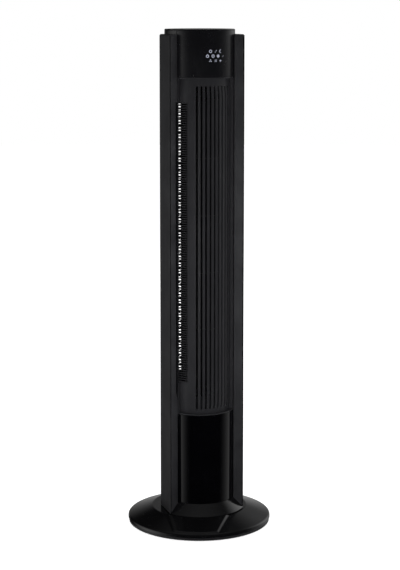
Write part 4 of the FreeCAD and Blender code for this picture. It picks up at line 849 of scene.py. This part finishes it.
@dataclass
class TouchSigns(FanPart):
    """Lit signs of the touch controls on the head. Angles in degrees, sizes in millimetres."""

    centre_y: float = -4.5
    radius: float = 72.5
    proud: float = 0.05
    size: float = 3.3
    rows: tuple[float, float, float] = (996.0, 986.5, 977.0)

    def strip(self, shape: Shape, angle: float, z: float, first: np.ndarray, second: np.ndarray) -> None:
        """Adds the band between two flat curves, wrapped on the head: x becomes an arc length.

        Args:
            shape: what the band is added to.
            angle: middle of the sign, in degrees from the column's front.
            z: height of the middle of the sign.
            first: one curve, as (x, y) rows.
            second: the other curve, with as many rows.
        """
        flat = np.stack([first, second])
        turn = angle + np.degrees(flat[..., 0] / self.radius)
        outer = around(self.radius + self.proud, turn, z + flat[..., 1], self.centre_y)
        inner = around(self.radius - 0.05, turn, z + flat[..., 1], self.centre_y)
        rows, columns = flat.shape[:2]
        top = grid_faces(rows, columns)
        below = grid_faces(rows, columns, flip=True) + rows * columns
        shape.add(np.concatenate([outer.reshape(-1, 3), inner.reshape(-1, 3)]), np.concatenate([top, below]))

    @staticmethod
    def circle(radius: float, start: float = 0.0, end: float = 360.0, count: int = 33,
               centre: tuple[float, float] = (0.0, 0.0)) -> np.ndarray:
        """Points on a circle's arc, counter-clockwise from the right."""
        a = np.radians(np.linspace(start, end, count))
        return np.column_stack([centre[0] + radius * np.cos(a), centre[1] + radius * np.sin(a)])

    def ring(self, shape: Shape, angle: float, z: float, size: float, hole: float) -> None:
        """A ring, or a disc where the hole is nearly nothing."""
        self.strip(shape, angle, z, self.circle(size), self.circle(size * hole))

    def petal(self, shape: Shape, angle: float, z: float, size: float, turn: float, width: float) -> None:
        """A leaf from the middle outwards: its two sides are half sine waves."""
        t = np.linspace(0, 1, 11)
        c, s = math.cos(math.radians(turn)), math.sin(math.radians(turn))
        for low, high in ((-1, 1),):
            sides = []
            for sign in (low, high):
                x, y = size * (0.15 + 0.85 * t), sign * width * size * np.sin(math.pi * t) * (0.5 + 0.5 * t)
                sides.append(np.column_stack([c * x - s * y, s * x + c * y]))
            self.strip(shape, angle, z, sides[0], sides[1])

    def crescent(self, shape: Shape, angle: float, z: float, size: float) -> None:
        """A moon: the band between a large arc and a smaller one moved sideways."""
        outer = self.circle(size, 50, 310)
        inner = self.circle(size * 0.82, 62, 298, centre=(size * 0.42, 0.0))
        self.strip(shape, angle, z, outer, inner)

    def build(self) -> None:
        """Draws the three rows of signs as one thin piece."""
        shape = Shape()
        size = self.size
        top, middle, bottom = self.rows
        self.ring(shape, -0.6, top, size, 0.55)
        self.petal(shape, 8.4, top, size * 1.05, 50, 0.34)
        self.petal(shape, 8.4, top, size * 1.05, 230, 0.34)
        self.crescent(shape, 17.1, top, size)
        self.ring(shape, -5.5, middle, size, 0.5)
        self.ring(shape, 3.7, middle, size, 0.5)
        self.ring(shape, 12.7, middle, size * 0.95, 0.02)
        for x0, y0, x1, y1 in ((-1.6, 0.2, -0.3, -1.0), (-0.3, -1.0, 1.8, 1.2)):
            start, end = np.array([x0, y0]), np.array([x1, y1])
            t = np.linspace(0, 1, 5)[:, None]
            path = start + (end - start) * t
            normal = np.array([-(end - start)[1], (end - start)[0]]) / np.linalg.norm(end - start) * 0.35
            self.strip(shape, 22.2, middle, path - normal, path + normal)
        for k in range(3):
            self.petal(shape, -0.6, bottom, size, 90 + 120 * k, 0.42)
        for k in range(4):
            self.petal(shape, 8.4, bottom, size, 45 + 90 * k, 0.32)
        self.ring(shape, 17.1, bottom, size * 0.5, 0.02)
        for k in range(4):
            self.petal(shape, 17.1, bottom, size * 0.95, 90 * k, 0.12)
        self.place(shape.object("touch_signs"), Palette.SIGN, "clear_guide")


@dataclass
class Inside(FanPart):
    """CAD nodes that keep their own shape, and what each is made of."""

    finishes: dict[str, Finish] = field(default_factory=lambda: {
        "base_pan": Palette.PAN_PP,
        "rubber_feet": Palette.RUBBER, "ballast_plate": Palette.ZINC_STEEL, "base_screws": Palette.BLACK_SCREW,
        "pivot_post": Palette.DUCT_ABS, "pivot_screws": Palette.BLACK_SCREW, "slide_washer": Palette.ACETAL,
        "fixed_gear": Palette.ACETAL, "retaining_ring": Palette.ZINC_STEEL, "ring_screws": Palette.ZINC_STEEL,
        "turntable": Palette.DUCT_ABS, "collar_screws": Palette.BLACK_SCREW, "swing_plate": Palette.ZINC_STEEL,
        "swing_motor": Palette.ENAMEL, "swing_screws": Palette.ZINC_STEEL, "swing_pinion": Palette.ACETAL,
        "pinion_shaft": Palette.GROUND_STEEL, "housing_screws": Palette.BLACK_SCREW,
        "wing_screws": Palette.BLACK_SCREW, "control_board": Palette.BOARD, "light_guide": Palette.FROSTED_PC,
        "impeller": Palette.IMPELLER_PP, "hub_coupler": Palette.ACETAL, "motor_shaft": Palette.GROUND_STEEL,
        "top_pin": Palette.GROUND_STEEL, "upper_bush": Palette.BRONZE, "lower_bulkhead": Palette.DUCT_ABS,
        "upper_bulkhead": Palette.DUCT_ABS, "volute": Palette.DUCT_ABS, "tongue": Palette.DUCT_ABS,
        "blower_motor": Palette.ENAMEL, "motor_grommets": Palette.RUBBER, "motor_screws": Palette.ZINC_STEEL,
        "power_board": Palette.BOARD, "cord_gland": Palette.RUBBER})

    def build(self) -> None:
        """Dresses the nodes, and gives any node that isn't listed the duct's plastic."""
        for name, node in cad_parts.items():
            self.palette.dress(node, self.finishes.get(name, Palette.DUCT_ABS))


# ---- studio -------------------------------------------------------------------------------------
@dataclass(frozen=True)
class Glow:
    """A pale patch of the surroundings that the object's gloss shows.

    Attributes:
        angle: the patch's middle in degrees from the column's front, positive to +X.
        rise: the height of its middle in degrees above the horizon.
        outer: angle in degrees at which it has faded out.
        strength: its radiance at the middle, where 1 is white.
        fall: power of its fading, where a higher one gathers the light at the middle.
    """

    angle: float
    rise: float
    outer: float
    strength: float
    fall: float = 2.0


@dataclass
class Studio:
    """Floor, surroundings, lamps and camera. Lengths in metres, angles in degrees from the column's front."""

    azimuth: float = -18.0
    distance: float = 3.263
    height: float = 1.092
    pitch: float = 7.05
    lens: float = 100.0
    shift: tuple[float, float] = (0.00167, -0.1509)
    dim: float = 0.008
    floor_glow: float = 0.80
    glows: tuple[Glow, ...] = (
        Glow(-104.0, -8.0, 62.0, 1.1, 4.0), Glow(112.0, -8.0, 62.0, 0.45, 2.0), Glow(112.0, 24.0, 34.0, 0.9, 1.5),
        Glow(165.0, -5.0, 36.0, 0.3, 1.5), Glow(0.0, 90.0, 50.0, 0.2, 1.5))

    def direction(self, angle: float) -> Vector:
        """Level direction away from the object at an angle from the column's front."""
        a = math.radians(angle)
        return Vector((math.sin(a), -math.cos(a), 0.0))

    def camera(self) -> None:
        """Puts the camera where it looks across and a little down."""
        data = bpy.data.cameras.new("camera")
        data.sensor_fit = "AUTO"
        data.sensor_width = 36.0
        data.lens = self.lens
        data.shift_x, data.shift_y = self.shift
        data.clip_start, data.clip_end = 0.05, 60.0
        camera = bpy.data.objects.new("camera", data)
        bpy.context.scene.collection.objects.link(camera)
        side = self.direction(self.azimuth)
        camera.location = side * self.distance + Vector((0, 0, self.height))
        p = math.radians(self.pitch)
        look = -side * math.cos(p) - Vector((0, 0, math.sin(p)))
        camera.rotation_mode = "QUATERNION"
        camera.rotation_quaternion = look.to_track_quat("-Z", "Y")
        bpy.context.scene.camera = camera

    def floor(self) -> None:
        """A large pale disc that looks white to the camera and still takes the object's shadow."""
        angle = np.arange(0, 360, 5.0)
        radius = np.array([0.001, 400.0, 2000.0, 9000.0])
        points = around(radius[None, :], angle[:, None], np.zeros((1, 4)))
        floor = Shape().add(points, grid_faces(len(angle), 4, True, False, flip=True)).object("floor")
        material = bpy.data.materials.new("pale_floor")
        material.use_nodes = True
        tree = material.node_tree
        tree.nodes.clear()
        rays = add_node(tree, "ShaderNodeLightPath")
        diffuse = add_node(tree, "ShaderNodeBsdfDiffuse", links={"Color": linear("#E8E8E8")})
        where = add_node(tree, "ShaderNodeTexCoord").outputs["Object"]
        away = add_node(tree, "ShaderNodeVectorMath", {"operation": "LENGTH"}, {0: where}).outputs["Value"]
        paler = add_node(tree, "ShaderNodeMapRange", links={
            "Value": away, "From Min": 0.2, "From Max": 1.6, "To Min": self.floor_glow, "To Max": 0.98})
        seen = add_node(tree, "ShaderNodeMath", {"operation": "MULTIPLY"}, {
            0: rays.outputs["Is Camera Ray"], 1: paler.outputs["Result"]})
        glow = add_node(tree, "ShaderNodeEmission", links={"Strength": seen.outputs["Value"]})
        both = add_node(tree, "ShaderNodeAddShader", links={0: diffuse.outputs["BSDF"], 1: glow.outputs["Emission"]})
        add_node(tree, "ShaderNodeOutputMaterial", links={"Surface": both.outputs["Shader"]})
        floor.data.materials.append(material)
        floor.visible_glossy = False

    def patch(self, tree: bpy.types.NodeTree, where: bpy.types.NodeSocket, glow: Glow) -> bpy.types.NodeSocket:
        """Radiance of one pale patch.

        It is the strength times t to the power of the fall, where t rises from 0 at the outer angle to 1 at the
        middle as the cosine of the angle between the ray and the middle does.
        """
        level = self.direction(glow.angle)
        c, s = math.cos(math.radians(glow.rise)), math.sin(math.radians(glow.rise))
        facing = add_node(tree, "ShaderNodeVectorMath", {"operation": "DOT_PRODUCT"}, {
            0: where, 1: (c * level.x, c * level.y, s)})
        near = add_node(tree, "ShaderNodeMapRange", links={
            "Value": facing.outputs["Value"], "From Min": math.cos(math.radians(glow.outer))})
        faded = add_node(tree, "ShaderNodeMath", {"operation": "POWER"}, {
            0: near.outputs["Result"], 1: glow.fall})
        return add_node(tree, "ShaderNodeMath", {"operation": "MULTIPLY"}, {
            0: faded.outputs["Value"], 1: glow.strength}).outputs["Value"]

    def world(self) -> None:
        """White to the camera, and dim elsewhere with pale patches like softboxes at both sides and above."""
        world = bpy.data.worlds.new("studio")
        world.use_nodes = True
        bpy.context.scene.world = world
        tree = world.node_tree
        tree.nodes.clear()
        rays = add_node(tree, "ShaderNodeLightPath")
        where = add_node(tree, "ShaderNodeTexCoord").outputs["Generated"]
        total: bpy.types.NodeSocket | float = self.dim
        for glow in self.glows:
            total = add_node(tree, "ShaderNodeMath", {"operation": "ADD"}, {
                0: self.patch(tree, where, glow), 1: total}).outputs["Value"]
        level = add_node(tree, "ShaderNodeMix", {"data_type": "FLOAT"}, {
            "Factor": rays.outputs["Is Camera Ray"], "A": total, "B": 1.0})
        background = add_node(tree, "ShaderNodeBackground", links={
            "Color": (1.0, 1.0, 1.0, 1.0), "Strength": level.outputs["Result"]})
        add_node(tree, "ShaderNodeOutputWorld", links={"Surface": background.outputs["Background"]})

    def lamp(self, name: str, angle: float, distance: float, height: float, size: tuple[float, float],
             watts: float, mirrored: bool = False) -> None:
        """A soft rectangular lamp aimed at the middle of the object.

        Args:
            name: the lamp's name.
            angle: where it stands.
            distance: how far it stands from the object.
            height: height of its middle.
            size: its width and height.
            watts: its power.
            mirrored: whether glossy surfaces show it.
        """
        data = bpy.data.lights.new(name, "AREA")
        data.shape = "RECTANGLE"
        data.size, data.size_y = size
        data.energy = watts
        lamp = bpy.data.objects.new(name, data)
        bpy.context.scene.collection.objects.link(lamp)
        lamp.location = self.direction(angle) * distance + Vector((0, 0, height))
        aim = Vector((0, 0, 0.52)) - lamp.location
        lamp.rotation_mode = "QUATERNION"
        lamp.rotation_quaternion = aim.to_track_quat("-Z", "Y")
        lamp.visible_glossy = mirrored
        lamp.visible_camera = False

    def build(self) -> None:
        """Makes the whole studio."""
        self.camera()
        self.floor()
        self.world()
        self.lamp("key", -24.0, 1.0, 0.52, (0.5, 0.5), 11.0)
        self.lamp("high_key", -60.0, 1.8, 1.9, (0.8, 0.8), 4.0)
        self.lamp("side_fill", 60.0, 1.6, 0.7, (0.8, 0.8), 14.0)
        self.lamp("back_fill", 170.0, 3.0, 1.8, (1.6, 1.6), 30.0)
        bpy.context.scene.view_settings.view_transform = "Standard"


def main() -> None:
    """Builds the sub-assemblies in order, then the studio."""
    logging.basicConfig(level=logging.INFO, format="%(name)s: %(message)s")
    palette = Palette()
    Inside(palette).build()
    Base(palette).build()
    Sill(palette).build()
    Core(palette).build()
    Wing(palette, side=-1).build()
    Wing(palette, side=1).build()
    Grilles(palette).build()
    TouchSigns(palette).build()
    Studio().build()


if __name__ == "__main__":
    main()
